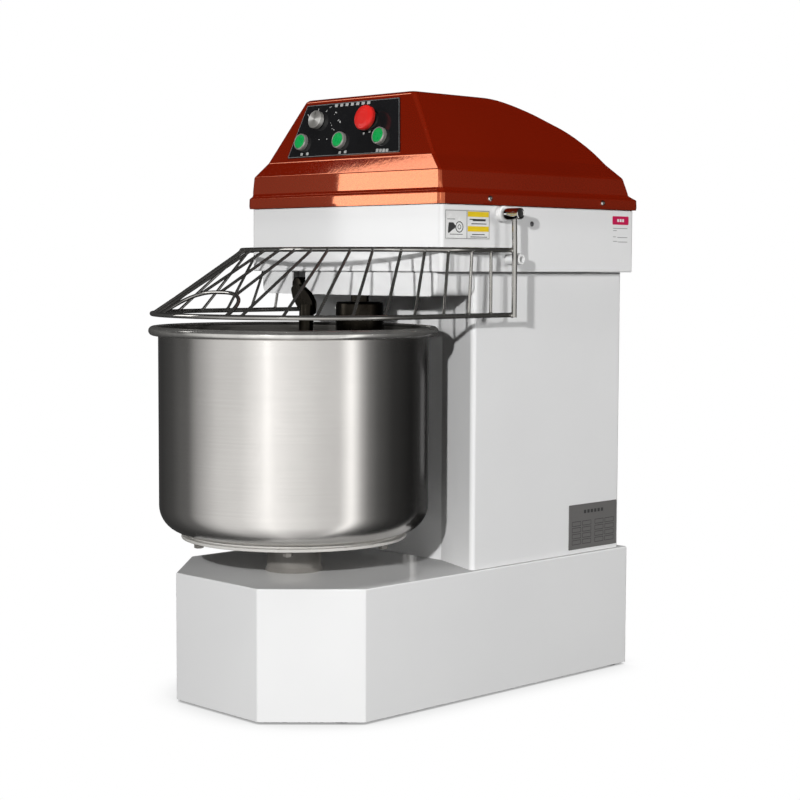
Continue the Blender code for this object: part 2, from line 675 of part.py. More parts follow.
def build_centre_bar():
    # Outline of the flat upper part, as (x, z).
    leaf = [(-133, 697), (-119, 713), (-104, 699), (-99, 684), (-84, 674), (-71, 660),
            (-72, 640), (-101, 640), (-112, 655), (-122, 668), (-133, 683)]
    bar = solid("center_bar", skin([[(x, y, z) for x, z in leaf] for y in (267.0, 281.5)]), DARK)
    eye_axis = ((-119.5, 0, 698.5), (1, 0, 0), (0, 0, 1), (0, 1, 0))
    add(bar, "add_bar_eye", lathe(rod(13.5, 264, 312), 14, eye_axis))
    stations = [i / BAR_STEPS for i in range(BAR_STEPS + 1)]
    points = [(-87 + 20 * t, 272 - 52 * t ** 1.2, 655 - 352 * t) for t in stations]
    add(bar, "add_bar_lower", tube(points, 13.0, 8))


# ----------------------------------------------------------------- top cover
def cover_ring(z, half, front, rear, radius, wall=0.0):
    outline = rectangle(wall - half, half - wall, front + wall, rear - wall)
    return [(x, y, z) for x, y in rounded(outline, [radius - wall] * 4, 2)]


def face_point(x, slope, height=0.0):
    """Point on the control face: slope upwards from the knee, height outwards."""
    up = Vector((0, math.sin(PANEL_LEAN), math.cos(PANEL_LEAN)))
    out = Vector((0, -math.cos(PANEL_LEAN), math.sin(PANEL_LEAN)))
    return Vector((0, KNEE_Y, KNEE_Z)) + Vector((x, 0, 0)) + up * slope + out * height


def face_axis(x, slope):
    """Lathe axis standing outwards on the control face."""
    up = (0, math.sin(PANEL_LEAN), math.cos(PANEL_LEAN))
    out = (0, -math.cos(PANEL_LEAN), math.sin(PANEL_LEAN))
    return (face_point(x, slope), (1, 0, 0), up, out)


def screw_places():
    """Name ending and lathe axis of each cover screw."""
    return [(f"{row}_{side_name}", x_axis(side * COVER_HALF, y, SCREW_Z, side))
            for side, side_name in SIDES for y, row in SCREW_ROWS]


def cover_hole_helper():
    """Holes for the controls and the cover screws."""
    controls = [(place, 5.6, 10) for place in BUTTON_PLACES.values()]
    controls += [(STOP_PLACE, 6.4, 10), (KNOB_PLACE, 4.6, 8)]
    holes = bmesh.new()
    for place, radius, steps in controls:
        lathe(rod(radius, -12, 6), steps, face_axis(*place), bm=holes)
    for _, axis in screw_places():
        lathe(rod(3.2, -9, 3), 6, axis, bm=holes)
    return helper("cut_face_holes", holes)


def build_cover_and_panel():
    cover = solid("top_cover", skin([cover_ring(*level) for level in COVER_LEVELS]),
                  RED, smooth=True)
    # The cavity opens below; its levels drop evenly to the roof's thickness.
    inner = [cover_ring(COVER_Z0 - 6, *COVER_LEVELS[0][1:], wall=COVER_WALL)]
    for z, *level in COVER_LEVELS[1:]:
        drop = COVER_ROOF * (z - COVER_Z0) / (ROOF_Z - COVER_Z0)
        inner.append(cover_ring(z - drop, *level, wall=COVER_WALL))
    cut(cover, "cut_cover_inside", skin(inner))
    holes = cover_hole_helper()
    boolean(cover, holes, "DIFFERENCE")

    rings = [[face_point(x, slope, height) for x, slope in PANEL_OUTLINE]
             for height in (PANEL_BACK, PANEL_FRONT)]
    boolean(solid("control_panel", skin(rings), BLACK), holes, "DIFFERENCE")


def build_buttons():
    top = PANEL_FRONT
    bezel = [(12.8, top + GAP), (12.8, top + 8.4), (14.75, top + 7.4), (14.75, top + GAP)]
    button = [(0, -14), (4.0, -14), (4.0, top + 4.2), (12.2, top + 4.2),
              (12.2, top + 8.8), (0, top + 8.8)]
    for name, place in BUTTON_PLACES.items():
        axis = face_axis(*place)
        turned("button_bezel_" + name, bezel, 16, axis, CHROME, smooth=True)
        turned("start_button_" + name, button, 14, axis, GREEN,
               origin=face_point(*place), smooth=True)


def build_emergency_stop():
    top = PANEL_FRONT
    axis = face_axis(*STOP_PLACE)
    collar = [(6.6, top + GAP), (6.6, top + 5.0), (12.5, top + 5.0),
              (15.0, top + 3.2), (15.0, top + GAP)]
    turned("emergency_stop_collar", collar, 18, axis, BLACK, smooth=True)
    button = [(0, -18), (5.4, -18), (5.4, top + 11), (20.0, top + 11), (21.5, top + 13),
              (21.5, top + 19.5), (19.0, top + 23.5), (11.0, top + 25.5), (0, top + 26)]
    turned("emergency_stop_button", button, 20, axis, STOP_RED,
           origin=face_point(*STOP_PLACE), smooth=True)


def build_speed_knob():
    top = PANEL_FRONT
    profile = [(0, -16), (3.4, -16), (3.4, top + GAP), (16.0, top + GAP),
               (16.0, top + 9.0), (15.0, top + 10.2), (0, top + 10.2)]
    turned("speed_knob", profile, 20, face_axis(*KNOB_PLACE), ALUMINIUM,
           origin=face_point(*KNOB_PLACE), smooth=True)


def build_cover_screws():
    profile = [(0, -6), (2.3, -6), (2.3, GAP), (4.6, GAP), (4.6, 1.8), (2.8, 3.2), (0, 3.2)]
    for place, axis in screw_places():
        turned("cover_screw_" + place, profile, 8, axis, STEEL)


# ------------------------------------------------------------ guard and hinge
def build_guard_fittings():
    seat = HEAD_HALF + GAP
    boss = [(5.9, seat), (5.9, 249.2), (11.5, 249.2), (13.5, 247.0), (13.5, seat)]
    knob = [(0, 240.0), (5.0, 240.0), (5.0, 249.8), (9.5, 249.8),
            (9.5, 282.0), (7.5, 284.0), (0, 284.0)]
    # Outer end is hollowed by a cone.
    stop = [(0, seat), (9.0, seat), (9.0, 270.0), (5.0, 270.0), (5.0, 252.0), (0, 252.0)]
    for side, name in SIDES:
        hinge = x_axis(0, PIVOT_Y, PIVOT_Z, side)
        turned("guard_boss_" + name, boss, 16, hinge, WHITE, smooth=True)
        turned("guard_knob_" + name, knob, 14, hinge, CHROME, origin=GUARD_ORIGIN, smooth=True)
        turned("guard_stop_" + name, stop, 12, x_axis(0, 434.0, 735.0, side), WHITE, smooth=True)


class Rail:
    """Level U-shaped rail: a straight leg forwards from the right arm, half an
    ellipse across the front, and a leg back to the left arm."""

    def __init__(self, centre_y, depth, z):
        self.centre_y = centre_y
        self.z = z
        self.leg = ARM_Y - centre_y
        angles = [math.pi * i / RAIL_ARC_STEPS for i in range(RAIL_ARC_STEPS + 1)]
        self.front = [(RAIL_HALF * math.cos(a), centre_y - depth * math.sin(a)) for a in angles]
        self.lengths = [0.0]
        for start, end in zip(self.front, self.front[1:]):
            self.lengths.append(self.lengths[-1] + math.dist(start, end))

    def point(self, length):
        """Point at a length along the rail from the right arm."""
        along_front = length - self.leg
        if along_front <= 0:
            return (RAIL_HALF, ARM_Y - length, self.z)
        if along_front >= self.lengths[-1]:
            return (-RAIL_HALF, self.centre_y + along_front - self.lengths[-1], self.z)
        i = 0
        while self.lengths[i + 1] < along_front:
            i += 1
        fraction = (along_front - self.lengths[i]) / (self.lengths[i + 1] - self.lengths[i])
        (x0, y0), (x1, y1) = self.front[i], self.front[i + 1]
        return (x0 + (x1 - x0) * fraction, y0 + (y1 - y0) * fraction, self.z)

    def wire(self, front_steps):
        """The rail as a tube, each leg in one step."""
        front = self.lengths[-1]
        lengths = [self.leg + front * i / front_steps for i in range(front_steps + 1)]
        lengths = [0.0, *lengths, 2 * self.leg + front]
        return tube([self.point(length) for length in lengths], RAIL_WIRE, 6, phase=0.2)


TOP_RAIL = Rail(centre_y=340.0, depth=188.0, z=750.0)
LOW_RAIL = Rail(centre_y=188.0, depth=245.0, z=643.0)


def station(stations, across):
    """Length along a rail, interpolated between the bars."""
    i = min(LAST_BAR - 1, int(across * LAST_BAR))
    fraction = across * LAST_BAR - i
    return stations[i] + (stations[i + 1] - stations[i]) * fraction


def guard_point(across, rise):
    """across runs from 0 to 1 over the bars, rise from the lower rail to the top one."""
    low = Vector(LOW_RAIL.point(station(LOW_STATIONS, across)))
    top = Vector(TOP_RAIL.point(station(TOP_STATIONS, across)))
    return low.lerp(top, rise)


def guard_arms():
    arms = bmesh.new()
    for side, _ in SIDES:
        x = side * ARM_X
        ends = [(x, ARM_Y, LOW_RAIL.z - 4), (x, ARM_Y, PIVOT_Z - 10.0)]
        tube(ends, ARM_WIRE, 6, bm=arms, phase=0.1)
    return arms


def guard_loop():
    """Arch of wire standing on the middle of the lower rail."""
    points = []
    for i in range(13):
        angle = math.pi * i / 12
        cosine, sine = math.cos(angle), math.sin(angle)
        offset = (0.5 - LOOP_START) * math.copysign(abs(cosine) ** LOOP_POWER, cosine)
        points.append(guard_point(0.5 - offset, LOOP_RISE * abs(sine) ** LOOP_POWER))
    return tube(points, LOOP_WIRE, 6, phase=0.3)


def guard_bars():
    bars = bmesh.new()
    for i in range(LAST_BAR + 1):
        across = i / LAST_BAR
        start = 0.0
        if LOOP_START < across < 1 - LOOP_START:
            # Bars over the loop start on it.
            offset = abs(0.5 - across) / (0.5 - LOOP_START)
            start = LOOP_RISE * (1 - offset ** (2 / LOOP_POWER)) ** (LOOP_POWER / 2)
        ends = [guard_point(across, start), guard_point(across, 1.0)]
        tube(ends, BAR_WIRE, 4, bm=bars, phase=0.25)
    return bars


def build_guard():
    guard = solid("safety_guard", LOW_RAIL.wire(28), CHROME, GUARD_ORIGIN, smooth=True)
    add(guard, "add_top_rail", TOP_RAIL.wire(20), GUARD_ORIGIN)
    add(guard, "add_arms", guard_arms(), GUARD_ORIGIN)
    add(guard, "add_loop", guard_loop(), GUARD_ORIGIN)
    add(guard, "add_bars", guard_bars(), GUARD_ORIGIN)


build_base()
build_feet()
build_bowl_bearing()
build_bowl_shaft()
build_bowl()
build_bowl_disc()
build_column()
build_rear_cover()
build_rating_plate()
build_neck()
build_head()
build_head_plate()
build_shaft_bearings()
build_layshaft()
build_motor()
build_belt_and_chains()
build_spindle()
build_hook()
build_centre_bar()
build_cover_and_panel()
build_buttons()
build_emergency_stop()
build_speed_knob()
build_cover_screws()
build_guard_fittings()
build_guard()
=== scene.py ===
"""Spiral mixer: a folded-sheet base, column, neck and head under a red cover, with a
sloping control panel, a steel bowl on a turning disc, a spiral hook, a centre bar and
a wire guard.

Sizes are millimetres in the machine's own layout: X right, Y rearwards from the base's
front face, Z up from the underside of the base. world() turns them into metres.
"""

import math
from bisect import bisect_left

import bmesh
import bpy
from mathutils import Matrix, Vector

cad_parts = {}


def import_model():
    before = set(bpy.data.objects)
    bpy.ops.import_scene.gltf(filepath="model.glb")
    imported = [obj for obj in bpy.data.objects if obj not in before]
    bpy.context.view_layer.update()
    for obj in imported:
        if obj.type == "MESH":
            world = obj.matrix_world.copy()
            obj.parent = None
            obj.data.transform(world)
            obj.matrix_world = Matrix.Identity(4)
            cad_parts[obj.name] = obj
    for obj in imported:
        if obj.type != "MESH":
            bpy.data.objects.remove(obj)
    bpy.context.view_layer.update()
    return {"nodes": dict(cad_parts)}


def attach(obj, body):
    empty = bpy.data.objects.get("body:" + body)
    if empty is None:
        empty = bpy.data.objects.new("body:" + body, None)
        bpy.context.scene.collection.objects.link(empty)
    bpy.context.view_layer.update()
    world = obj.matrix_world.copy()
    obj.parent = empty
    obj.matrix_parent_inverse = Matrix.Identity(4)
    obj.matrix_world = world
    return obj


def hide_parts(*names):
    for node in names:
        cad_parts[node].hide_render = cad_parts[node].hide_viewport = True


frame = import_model()
NODES = frame["nodes"]

# ------------------------------------------------------------ driving dimensions
MM = 0.001
FOOT_GAP = 4.0        # floor to the underside of the base
Y_MID = 351.0         # layout Y that lies on the world origin
SHEET = 3.0           # housing wall
SEAM = 0.4            # gap between stacked housings
FIT_GAP = 0.45        # gap between a surface and a part seated on it
OVERCUT = 9.0         # how far most cutting solids run past a surface

BASE_HALF = 224.0
BASE_FRONT_HALF = 105.0
BASE_CHAMFER_Y = 124.0
BASE_LEN = 779.0
BASE_H = 213.8

COL_HALF = 218.0
COL_FRONT = 371.0
COL_REAR = 759.0
COL_RECESS_Y = 414.0  # flat at the back of the recess in the column's front
COL_RECESS_HALF = 105.0
COL_Z0 = BASE_H + SEAM
COL_TOP = 713.4

NECK_HALF = 220.0
NECK_FRONT = 282.0
NECK_Z0 = 674.0
NECK_EDGE = 14.0      # radius of the two lower side edges
NECK_GAP = 0.8        # gap between neck and column

HEAD_HALF = 238.7
HEAD_FRONT = 274.5
HEAD_REAR = 766.0
HEAD_Z0 = COL_TOP + SEAM
HEAD_TOP = 823.8

ROOF_Z = 1013.0       # the panel face runs from the knee up to the roof
ROOF_FRONT = 312.0
KNEE_Z = 905.0
KNEE_Y = 286.0
LEAN = math.atan2(ROOF_FRONT - KNEE_Y, ROOF_Z - KNEE_Z)

BOWL_Y = 168.0        # bowl axis
BOWL_R = 225.0
BOWL_T = 2.5
BOWL_Z0 = 281.0
BOWL_CORNER = 45.0
RIM_R = 233.2
RIM_TUBE = 7.8
RIM_Z = 615.5
DISC_R = 188.4
DISC_Z = 271.0
DISC_T = 5.0
STEP_R = 178.0
BOLT_CIRCLE_R = 173.7

SPINDLE_Y = 318.0     # hook axis
HUB_R = 42.0
HUB_Z0 = 588.0
HUB_Z1 = 662.0

PIVOT_Y = 415.0       # guard pivot
PIVOT_Z = 810.0


def world(point):
    return Vector((point[0] * MM, (point[1] - Y_MID) * MM, (point[2] + FOOT_GAP) * MM))


# ------------------------------------------------------------------ flat outlines
def rect(x0, x1, y0, y1):
    return [(x0, y0), (x1, y0), (x1, y1), (x0, y1)]


def at_x(outline, x):
    return [(x, y, z) for y, z in outline]


def at_y(outline, y):
    return [(x, y, z) for x, z in outline]


def at_z(outline, z):
    return [(x, y, z) for x, y in outline]


def offset(outline, distance):
    """Shifts each edge to its left: inwards on a counter-clockwise outline."""
    shifted = []
    for i in range(len(outline)):
        last, here = Vector(outline[i - 1]), Vector(outline[i])
        following = Vector(outline[(i + 1) % len(outline)])
        edge_in, edge_out = (here - last).normalized(), (following - here).normalized()
        normal_in = Vector((-edge_in.y, edge_in.x))
        miter = normal_in + Vector((-edge_out.y, edge_out.x))
        miter = miter / max(1e-6, miter.dot(normal_in))
        shifted.append((here.x + miter.x * distance, here.y + miter.y * distance))
    return shifted


def corner_arc(corner, to_last, to_next, reach, radius, seg):
    """Arc touching both edges at `reach` from the corner."""
    half = to_last.angle(to_next) / 2
    center = corner + (to_last + to_next).normalized() * (radius / math.sin(half))
    first, last = (corner + to_last * reach) - center, (corner + to_next * reach) - center
    turn = math.atan2(first.x * last.y - first.y * last.x, first.dot(last))
    start = math.atan2(first.y, first.x)
    angles = [start + turn * k / seg for k in range(seg + 1)]
    return [(center.x + radius * math.cos(a), center.y + radius * math.sin(a)) for a in angles]


def rounded(outline, radii, seg=6):
    """Closed outline with every corner rounded; one radius, or one per corner."""
    points = []
    for i in range(len(outline)):
        radius = max(0.3, radii[i] if isinstance(radii, (list, tuple)) else radii)
        last, here = Vector(outline[i - 1]), Vector(outline[i])
        following = Vector(outline[(i + 1) % len(outline)])
        to_last, to_next = (last - here).normalized(), (following - here).normalized()
        reach = radius / math.tan(to_last.angle(to_next) / 2.0)
        points += corner_arc(here, to_last, to_next, reach, radius, seg)
    return points


def fillet(rows, seg=4, closed=False):
    """Profile from rows of (radius, height, corner radius); corner radius 0 stays sharp."""
    points, n = [], len(rows)
    for i, (*here, radius) in enumerate(rows):
        if (not closed and i in (0, n - 1)) or radius <= 0:
            points.append(tuple(here))
            continue
        corner = Vector(here)
        to_last = Vector(rows[i - 1][:2]) - corner
        to_next = Vector(rows[(i + 1) % n][:2]) - corner
        room = (to_last.length * 0.48, to_next.length * 0.48)
        to_last.normalize()
        to_next.normalize()
        angle = to_last.angle(to_next)
        if angle > 3.1:
            points.append(tuple(here))
            continue
        reach = min(radius / math.tan(angle / 2), *room)
        points += corner_arc(corner, to_last, to_next, reach, reach * math.tan(angle / 2), seg)
    return points


def cylinder(radius, z0, z1, low=0, high=0):
    """Rows of a plain cylinder, with its two corner radii."""
    return [(0, z0, 0), (radius, z0, low), (radius, z1, high), (0, z1, 0)]


# --------------------------------------------------------------------- solids
def skin(rings, looped=False, bm=None):
    """Joins rings of equal length; the ends are capped unless the rings form a loop."""
    bm = bm or bmesh.new()
    loops = [[bm.verts.new(p) for p in ring] for ring in rings]
    n, m = len(rings[0]), len(rings)
    for i in range(m if looped else m - 1):
        a, b = loops[i], loops[(i + 1) % m]
        for j in range(n):
            k = (j + 1) % n
            bm.faces.new((a[j], a[k], b[k], b[j]))
    if not looped:
        bm.faces.new(loops[0][::-1])
        bm.faces.new(loops[-1])
    return bm


def prism(outline, z0, z1, bm=None):
    return skin([at_z(outline, z0), at_z(outline, z1)], bm=bm)


def box(x0, x1, y0, y1, z0, z1, bm=None):
    return prism(rect(x0, x1, y0, y1), z0, z1, bm=bm)


def upright(x, y, z=0.0):
    """Turning axes are (origin, first radial, second radial, axis)."""
    return ((x, y, z), (1, 0, 0), (0, 1, 0), (0, 0, 1))


def sideways(x, y, z, side):
    return ((x, y, z), (0, 1, 0), (0, 0, 1), (side, 0, 0))


def lathe(profile, n, axes, closed=False, bm=None, groove=None):
    """Turns (radius, height) points; groove(step, radius, height) is a depth to take off."""
    bm = bm or bmesh.new()
    origin, across, along_v, axis = (Vector(v) for v in axes)
    rings = []
    for radius, height in profile:
        if radius < 1e-6:
            rings.append([bm.verts.new(origin + axis * height)])
            continue
        ring = []
        for i in range(n):
            a = math.tau * i / n
            r = radius - groove(i, radius, height) if groove else radius
            spoke = across * math.cos(a) + along_v * math.sin(a)
            ring.append(bm.verts.new(origin + axis * height + spoke * r))
        rings.append(ring)
    m = len(rings)
    for i in range(m if closed else m - 1):
        a, b = rings[i], rings[(i + 1) % m]
        for j in range(n):
            k = (j + 1) % n
            if len(a) == 1:
                bm.faces.new((a[0], b[k], b[j]))
            elif len(b) == 1:
                bm.faces.new((a[j], a[k], b[0]))
            else:
                bm.faces.new((a[j], a[k], b[k], b[j]))
    return bm


def turned(rows, n, axes, seg=4, closed=False, bm=None, groove=None):
    return lathe(fillet(rows, seg, closed), n, axes, closed, bm, groove)


def tube(points, radius, n, bm=None):
    """Round bar along points; one radius, or one per point."""
    path = [Vector(p) for p in points]
    last = len(path) - 1
    tangents = []
    for i in range(last + 1):
        if i == 0:
            tangent = path[1] - path[0]
        elif i == last:
            tangent = path[-1] - path[-2]
        else:
            tangent = (path[i + 1] - path[i]).normalized() + (path[i] - path[i - 1]).normalized()
        tangents.append(tangent.normalized())
    guide = Vector((0, 0, 1)) if abs(tangents[0].z) < 0.9 else Vector((1, 0, 0))
    normal = (guide - tangents[0] * guide.dot(tangents[0])).normalized()
    rings = []
    for i, (center, tangent) in enumerate(zip(path, tangents)):
        normal = (normal - tangent * normal.dot(tangent)).normalized()
        side = tangent.cross(normal)
        r = radius[i] if isinstance(radius, (list, tuple)) else radius
        angles = [math.tau * k / n for k in range(n)]
        rings.append([center + (normal * math.cos(a) + side * math.sin(a)) * r for a in angles])
    return skin(rings, bm=bm)


# --------------------------------------------------------------------- objects
def link_object(name, data):
    ob = bpy.data.objects.new(name, data)
    bpy.context.scene.collection.objects.link(ob)
    return ob


def smooth_shade(mesh, angle):
    mesh.shade_smooth()
    mesh.set_sharp_from_angle(angle=math.radians(angle))


def mesh_object(name, bm, material=None, smooth=35.0):
    bmesh.ops.recalc_face_normals(bm, faces=bm.faces)
    for vertex in bm.verts:
        vertex.co = world(vertex.co)
    mesh = bpy.data.meshes.new(name)
    bm.to_mesh(mesh)
    bm.free()
    ob = link_object(name, mesh)
    if material is not None:
        mesh.materials.append(material)
    if smooth:
        smooth_shade(mesh, smooth)
    return ob


def boolean(ob, tool_bm, operation):
    """Applies a boolean with a throw-away object."""
    tool = mesh_object("tool_tmp", tool_bm, smooth=0)
    modifier = ob.modifiers.new("b", "BOOLEAN")
    modifier.operation = operation
    modifier.solver = "EXACT"
    modifier.object = tool
    depsgraph = bpy.context.evaluated_depsgraph_get()
    depsgraph.update()
    result = bpy.data.meshes.new_from_object(ob.evaluated_get(depsgraph))
    ob.modifiers.clear()
    old = ob.data
    ob.data = result
    bpy.data.meshes.remove(old)
    bpy.data.objects.remove(tool, do_unlink=True)


def flat_first(ob):
    """Lets the large flat faces set the shading normals at their rounded edges."""
    modifier = ob.modifiers.new("flat_first", "WEIGHTED_NORMAL")
    modifier.mode = "FACE_AREA"
    modifier.weight = 100
    modifier.thresh = 0.01
    modifier.keep_sharp = True


def place(ob, body, slot, *nodes):
    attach(ob, body)
    if nodes:
        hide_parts(*nodes)
    return ob


def piece(name, bm, material, body, slot, *nodes,
          smooth=35.0, cuts=(), joins=(), resmooth=None, flat=False):
    ob = mesh_object(name, bm, material, smooth)
    for tool in cuts:
        boolean(ob, tool, "DIFFERENCE")
    for tool in joins:
        boolean(ob, tool, "UNION")
    if resmooth:
        smooth_shade(ob.data, resmooth)
    if flat:
        flat_first(ob)
    return place(ob, body, slot, *nodes)


def turned_piece(name, rows, n, axes, material, body, slot, *nodes,
                 seg=4, closed=False, groove=None, smooth=40, cuts=()):
    bm = turned(rows, n, axes, seg, closed, groove=groove)
    return piece(name, bm, material, body, slot, *nodes, smooth=smooth, cuts=cuts)


def housing(name, bm, node, cuts):
    return piece(name, bm, WHITE, "frame", "white_paint", node,
                 cuts=cuts, resmooth=32, flat=True)


# ------------------------------------------------------------------- materials
def rgba(value):
    """Opaque colour from a grey level or an (r, g, b) triple."""
    return (*value, 1.0) if isinstance(value, tuple) else (value, value, value, 1.0)


class Graph:
    """A node tree with short calls that add nodes and wire them."""

    def __init__(self, tree, clear=False):
        self.tree = tree
        if clear:
            tree.nodes.clear()

    def set(self, node, inputs):
        """Each input takes a value, or a link if given a socket."""
        for key, value in inputs.items():
            if isinstance(value, bpy.types.NodeSocket):
                self.tree.links.new(value, node.inputs[key])
            else:
                node.inputs[key].default_value = value

    def add(self, kind, inputs=None, **settings):
        node = self.tree.nodes.new("ShaderNode" + kind)
        for key, value in settings.items():
            setattr(node, key, value)
        self.set(node, inputs or {})
        return node

    def math(self, operation, *operands):
        return self.add("Math", dict(enumerate(operands)), operation=operation).outputs[0]

    def ramp(self, source, stops):
        """Colour ramp from (position, grey or rgb) stops."""
        node = self.add("ValToRGB", {0: source})
        elements = node.color_ramp.elements
        while len(elements) > 1:
            elements.remove(elements[-1])
        elements[0].position, elements[0].color = stops[0][0], rgba(stops[0][1])
        for position, value in stops[1:]:
            elements.new(position).color = rgba(value)
        return node.outputs[0]

    def fade(self, source, low, high, start=0.3, end=0.7):
        return self.ramp(source, [(start, low), (end, high)])

    def noise(self, scale, detail, roughness, stretch=(1, 1, 1)):
        coords = self.add("TexCoord").outputs["Object"]
        mapping = self.add("Mapping", {0: coords, "Scale": stretch})
        return self.add("TexNoise", {"Vector": mapping.outputs[0], "Scale": scale,
                                     "Detail": detail, "Roughness": roughness}).outputs["Fac"]

    def multiply(self, first, second):
        return self.add("Mix", {0: 1.0, 6: first, 7: second},
                        data_type="RGBA", blend_type="MULTIPLY").outputs[2]

    def bump(self, height, strength, distance):
        return self.add("Bump", {"Height": height, "Strength": strength,
                                 "Distance": distance}).outputs[0]

    def mix_shader(self, factor, first, second):
        return self.add("MixShader", {0: factor, 1: first, 2: second}).outputs[0]


def new_material(name):
    material = bpy.data.materials.new(name)
    material.use_nodes = True
    tree = material.node_tree
    return material, Graph(tree), tree.nodes["Principled BSDF"]


def bare_material(name):
    """Material with an empty tree."""
    material = bpy.data.materials.new(name)
    material.use_nodes = True
    return material, Graph(material.node_tree, clear=True)


def paint(name, low, high, rough, peel, peel_scale=260.0, crease_dark=0.0):
    """Paint drifting between two colours; peel is the fine waviness, and the last argument darkens
    the colour in creases.
    """
    material, graph, bsdf = new_material(name)
    color = graph.fade(graph.noise(scale=2.6, detail=4.0, roughness=0.6), low, high, end=0.72)
    if crease_dark > 0:
        pointiness = graph.add("NewGeometry").outputs["Pointiness"]
        creases = graph.fade(pointiness, 1 - crease_dark, 1.0, start=0.47, end=0.5)
        color = graph.multiply(color, creases)
    gloss = graph.noise(scale=9.0, detail=5.0, roughness=0.65)
    gloss = graph.fade(gloss, *rough, end=0.75)
    waves = graph.noise(scale=peel_scale, detail=2.0, roughness=0.5)
    graph.set(bsdf, {"Base Color": color, "Roughness": gloss, "Coat Roughness": 0.05,
                     "Normal": graph.bump(waves, strength=peel, distance=0.0006)})
    return material


def brushed(name, color, rough, aniso, stretch, lines, radial=True, turn=0.0, metallic=1.0):
    """Brushed metal; stretch squeezes the noise into lines, radial brushes around Z."""
    material, graph, bsdf = new_material(name)
    low = tuple(c * 0.93 for c in color)
    high = tuple(min(1.0, c * 1.05) for c in color)
    tone = graph.fade(graph.noise(scale=4.0, detail=5.0, roughness=0.6), low, high)
    fine = graph.noise(scale=1.0, detail=6.0, roughness=0.7, stretch=stretch)
    tone = graph.multiply(tone, graph.fade(fine, 0.90, 1.0, start=0.25, end=0.75))
    graph.set(bsdf, {"Base Color": tone, "Metallic": metallic,
                     "Roughness": graph.fade(fine, *rough, start=0.25, end=0.75),
                     "Anisotropic": aniso, "Anisotropic Rotation": turn,
                     "Normal": graph.bump(fine, strength=lines, distance=0.0003)})
    if radial:
        tangent = graph.add("Tangent", direction_type="RADIAL", axis="Z")
        graph.set(bsdf, {"Tangent": tangent.outputs[0]})
    return material


def metal(name, color, rough=(0.15, 0.3), scale=60.0, relief=0.05, relief_scale=300.0,
          spots=None, metallic=1.0):
    """Plain metal, blotched towards the spots colour or a darker shade of its own."""
    material, graph, bsdf = new_material(name)
    low = spots or tuple(c * 0.82 for c in color)
    blotches = graph.noise(scale=scale, detail=6.0, roughness=0.6)
    tone = graph.fade(blotches, low, color, start=0.28, end=0.62)
    gloss = graph.fade(graph.noise(scale=scale * 0.4, detail=5.0, roughness=0.6), *rough)
    grain = graph.noise(scale=relief_scale, detail=4.0, roughness=0.55)
    graph.set(bsdf, {"Base Color": tone, "Metallic": metallic, "Roughness": gloss,
                     "Normal": graph.bump(grain, strength=relief, distance=0.0005)})
    return material


def plastic(name, color, rough, relief=0.04):
    material, graph, bsdf = new_material(name)
    low = tuple(c * 0.86 for c in color)
    tone = graph.fade(graph.noise(scale=35.0, detail=4.0, roughness=0.6), low, color)
    gloss = graph.fade(graph.noise(scale=80.0, detail=6.0, roughness=0.7), *rough)
    grain = graph.noise(scale=420.0, detail=2.0, roughness=0.5)
    graph.set(bsdf, {"Base Color": tone, "Roughness": gloss,
                     "Normal": graph.bump(grain, strength=relief, distance=0.0003)})
    return material


def cover_paint():
    """Deep red lacquer: pigment mixed with metallic flake, both under clear coat."""
    material, graph, pigment = new_material("red_cover_paint")
    drift = graph.noise(scale=2.2, detail=4.0, roughness=0.6)
    red = graph.fade(drift, (0.225, 0.0110, 0.0022), (0.265, 0.0135, 0.0028))
    graph.set(pigment, {"Base Color": red, "Roughness": 0.45, "Specular IOR Level": 0.0})
    flake = graph.add("BsdfPrincipled")
    cells = graph.add("TexVoronoi", {"Scale": 1400.0})
    graph.set(cells, {"Vector": graph.add("TexCoord").outputs["Object"]})
    glitter = graph.fade(cells.outputs["Color"], (0.66, 0.15, 0.035), (0.98, 0.29, 0.07),
                         start=0.0, end=1.0)
    gloss = graph.fade(graph.noise(scale=12.0, detail=5.0, roughness=0.6), 0.025, 0.035)
    graph.set(flake, {"Base Color": glitter, "Metallic": 1.0, "Roughness": gloss})
    lacquer = graph.mix_shader(0.34, pigment.outputs[0], flake.outputs[0])
    for layer in (pigment, flake):
        coat = graph.noise(scale=7.0, detail=5.0, roughness=0.6)
        graph.set(layer, {"Coat Weight": 1.0, "Coat IOR": 1.45,
                          "Coat Roughness": graph.fade(coat, 0.02, 0.05)})
    waves = graph.noise(scale=150.0, detail=2.0, roughness=0.5)
    normal = graph.bump(waves, strength=0.02, distance=0.0005)
    for layer in (pigment, flake):
        graph.set(layer, {"Normal": normal, "Coat Normal": normal})
    graph.set(graph.tree.nodes["Material Output"], {0: lacquer})
    return material


WHITE = paint("white_paint", low=(0.800, 0.800, 0.800), high=(0.835, 0.835, 0.832),
              rough=(0.09, 0.15), peel=0.02, crease_dark=0.06)
WHITE_SMALL = paint("white_paint_small", low=(0.79, 0.79, 0.785), high=(0.83, 0.83, 0.825),
                    rough=(0.18, 0.30), peel=0.05, peel_scale=400.0)
DISC_WHITE = paint("white_disc", low=(0.56, 0.545, 0.515), high=(0.64, 0.625, 0.595),
                   rough=(0.22, 0.36), peel=0.05, peel_scale=300.0, crease_dark=0.15)
BOWL_OUT = brushed("bowl_stainless", color=(0.66, 0.640, 0.615), rough=(0.19, 0.23),
                   aniso=0.85, stretch=(4, 4, 900), lines=0.02, turn=0.25)
RIM = metal("rim_polished", color=(0.68, 0.665, 0.635), rough=(0.12, 0.18), scale=50.0,
            relief=0.02, metallic=0.86)
# The bowl's own steel, darkened for its inside: painted shade of the bowl's interior.
BOWL_INSIDE_SHADED = brushed("bowl_inside_painted_shade", color=(0.185, 0.178, 0.165), rough=(0.26, 0.36), aniso=0.7,
                  stretch=(4, 4, 900), lines=0.03, metallic=0.84)
STEEL = metal("bright_steel", color=(0.62, 0.61, 0.59), rough=(0.16, 0.30))
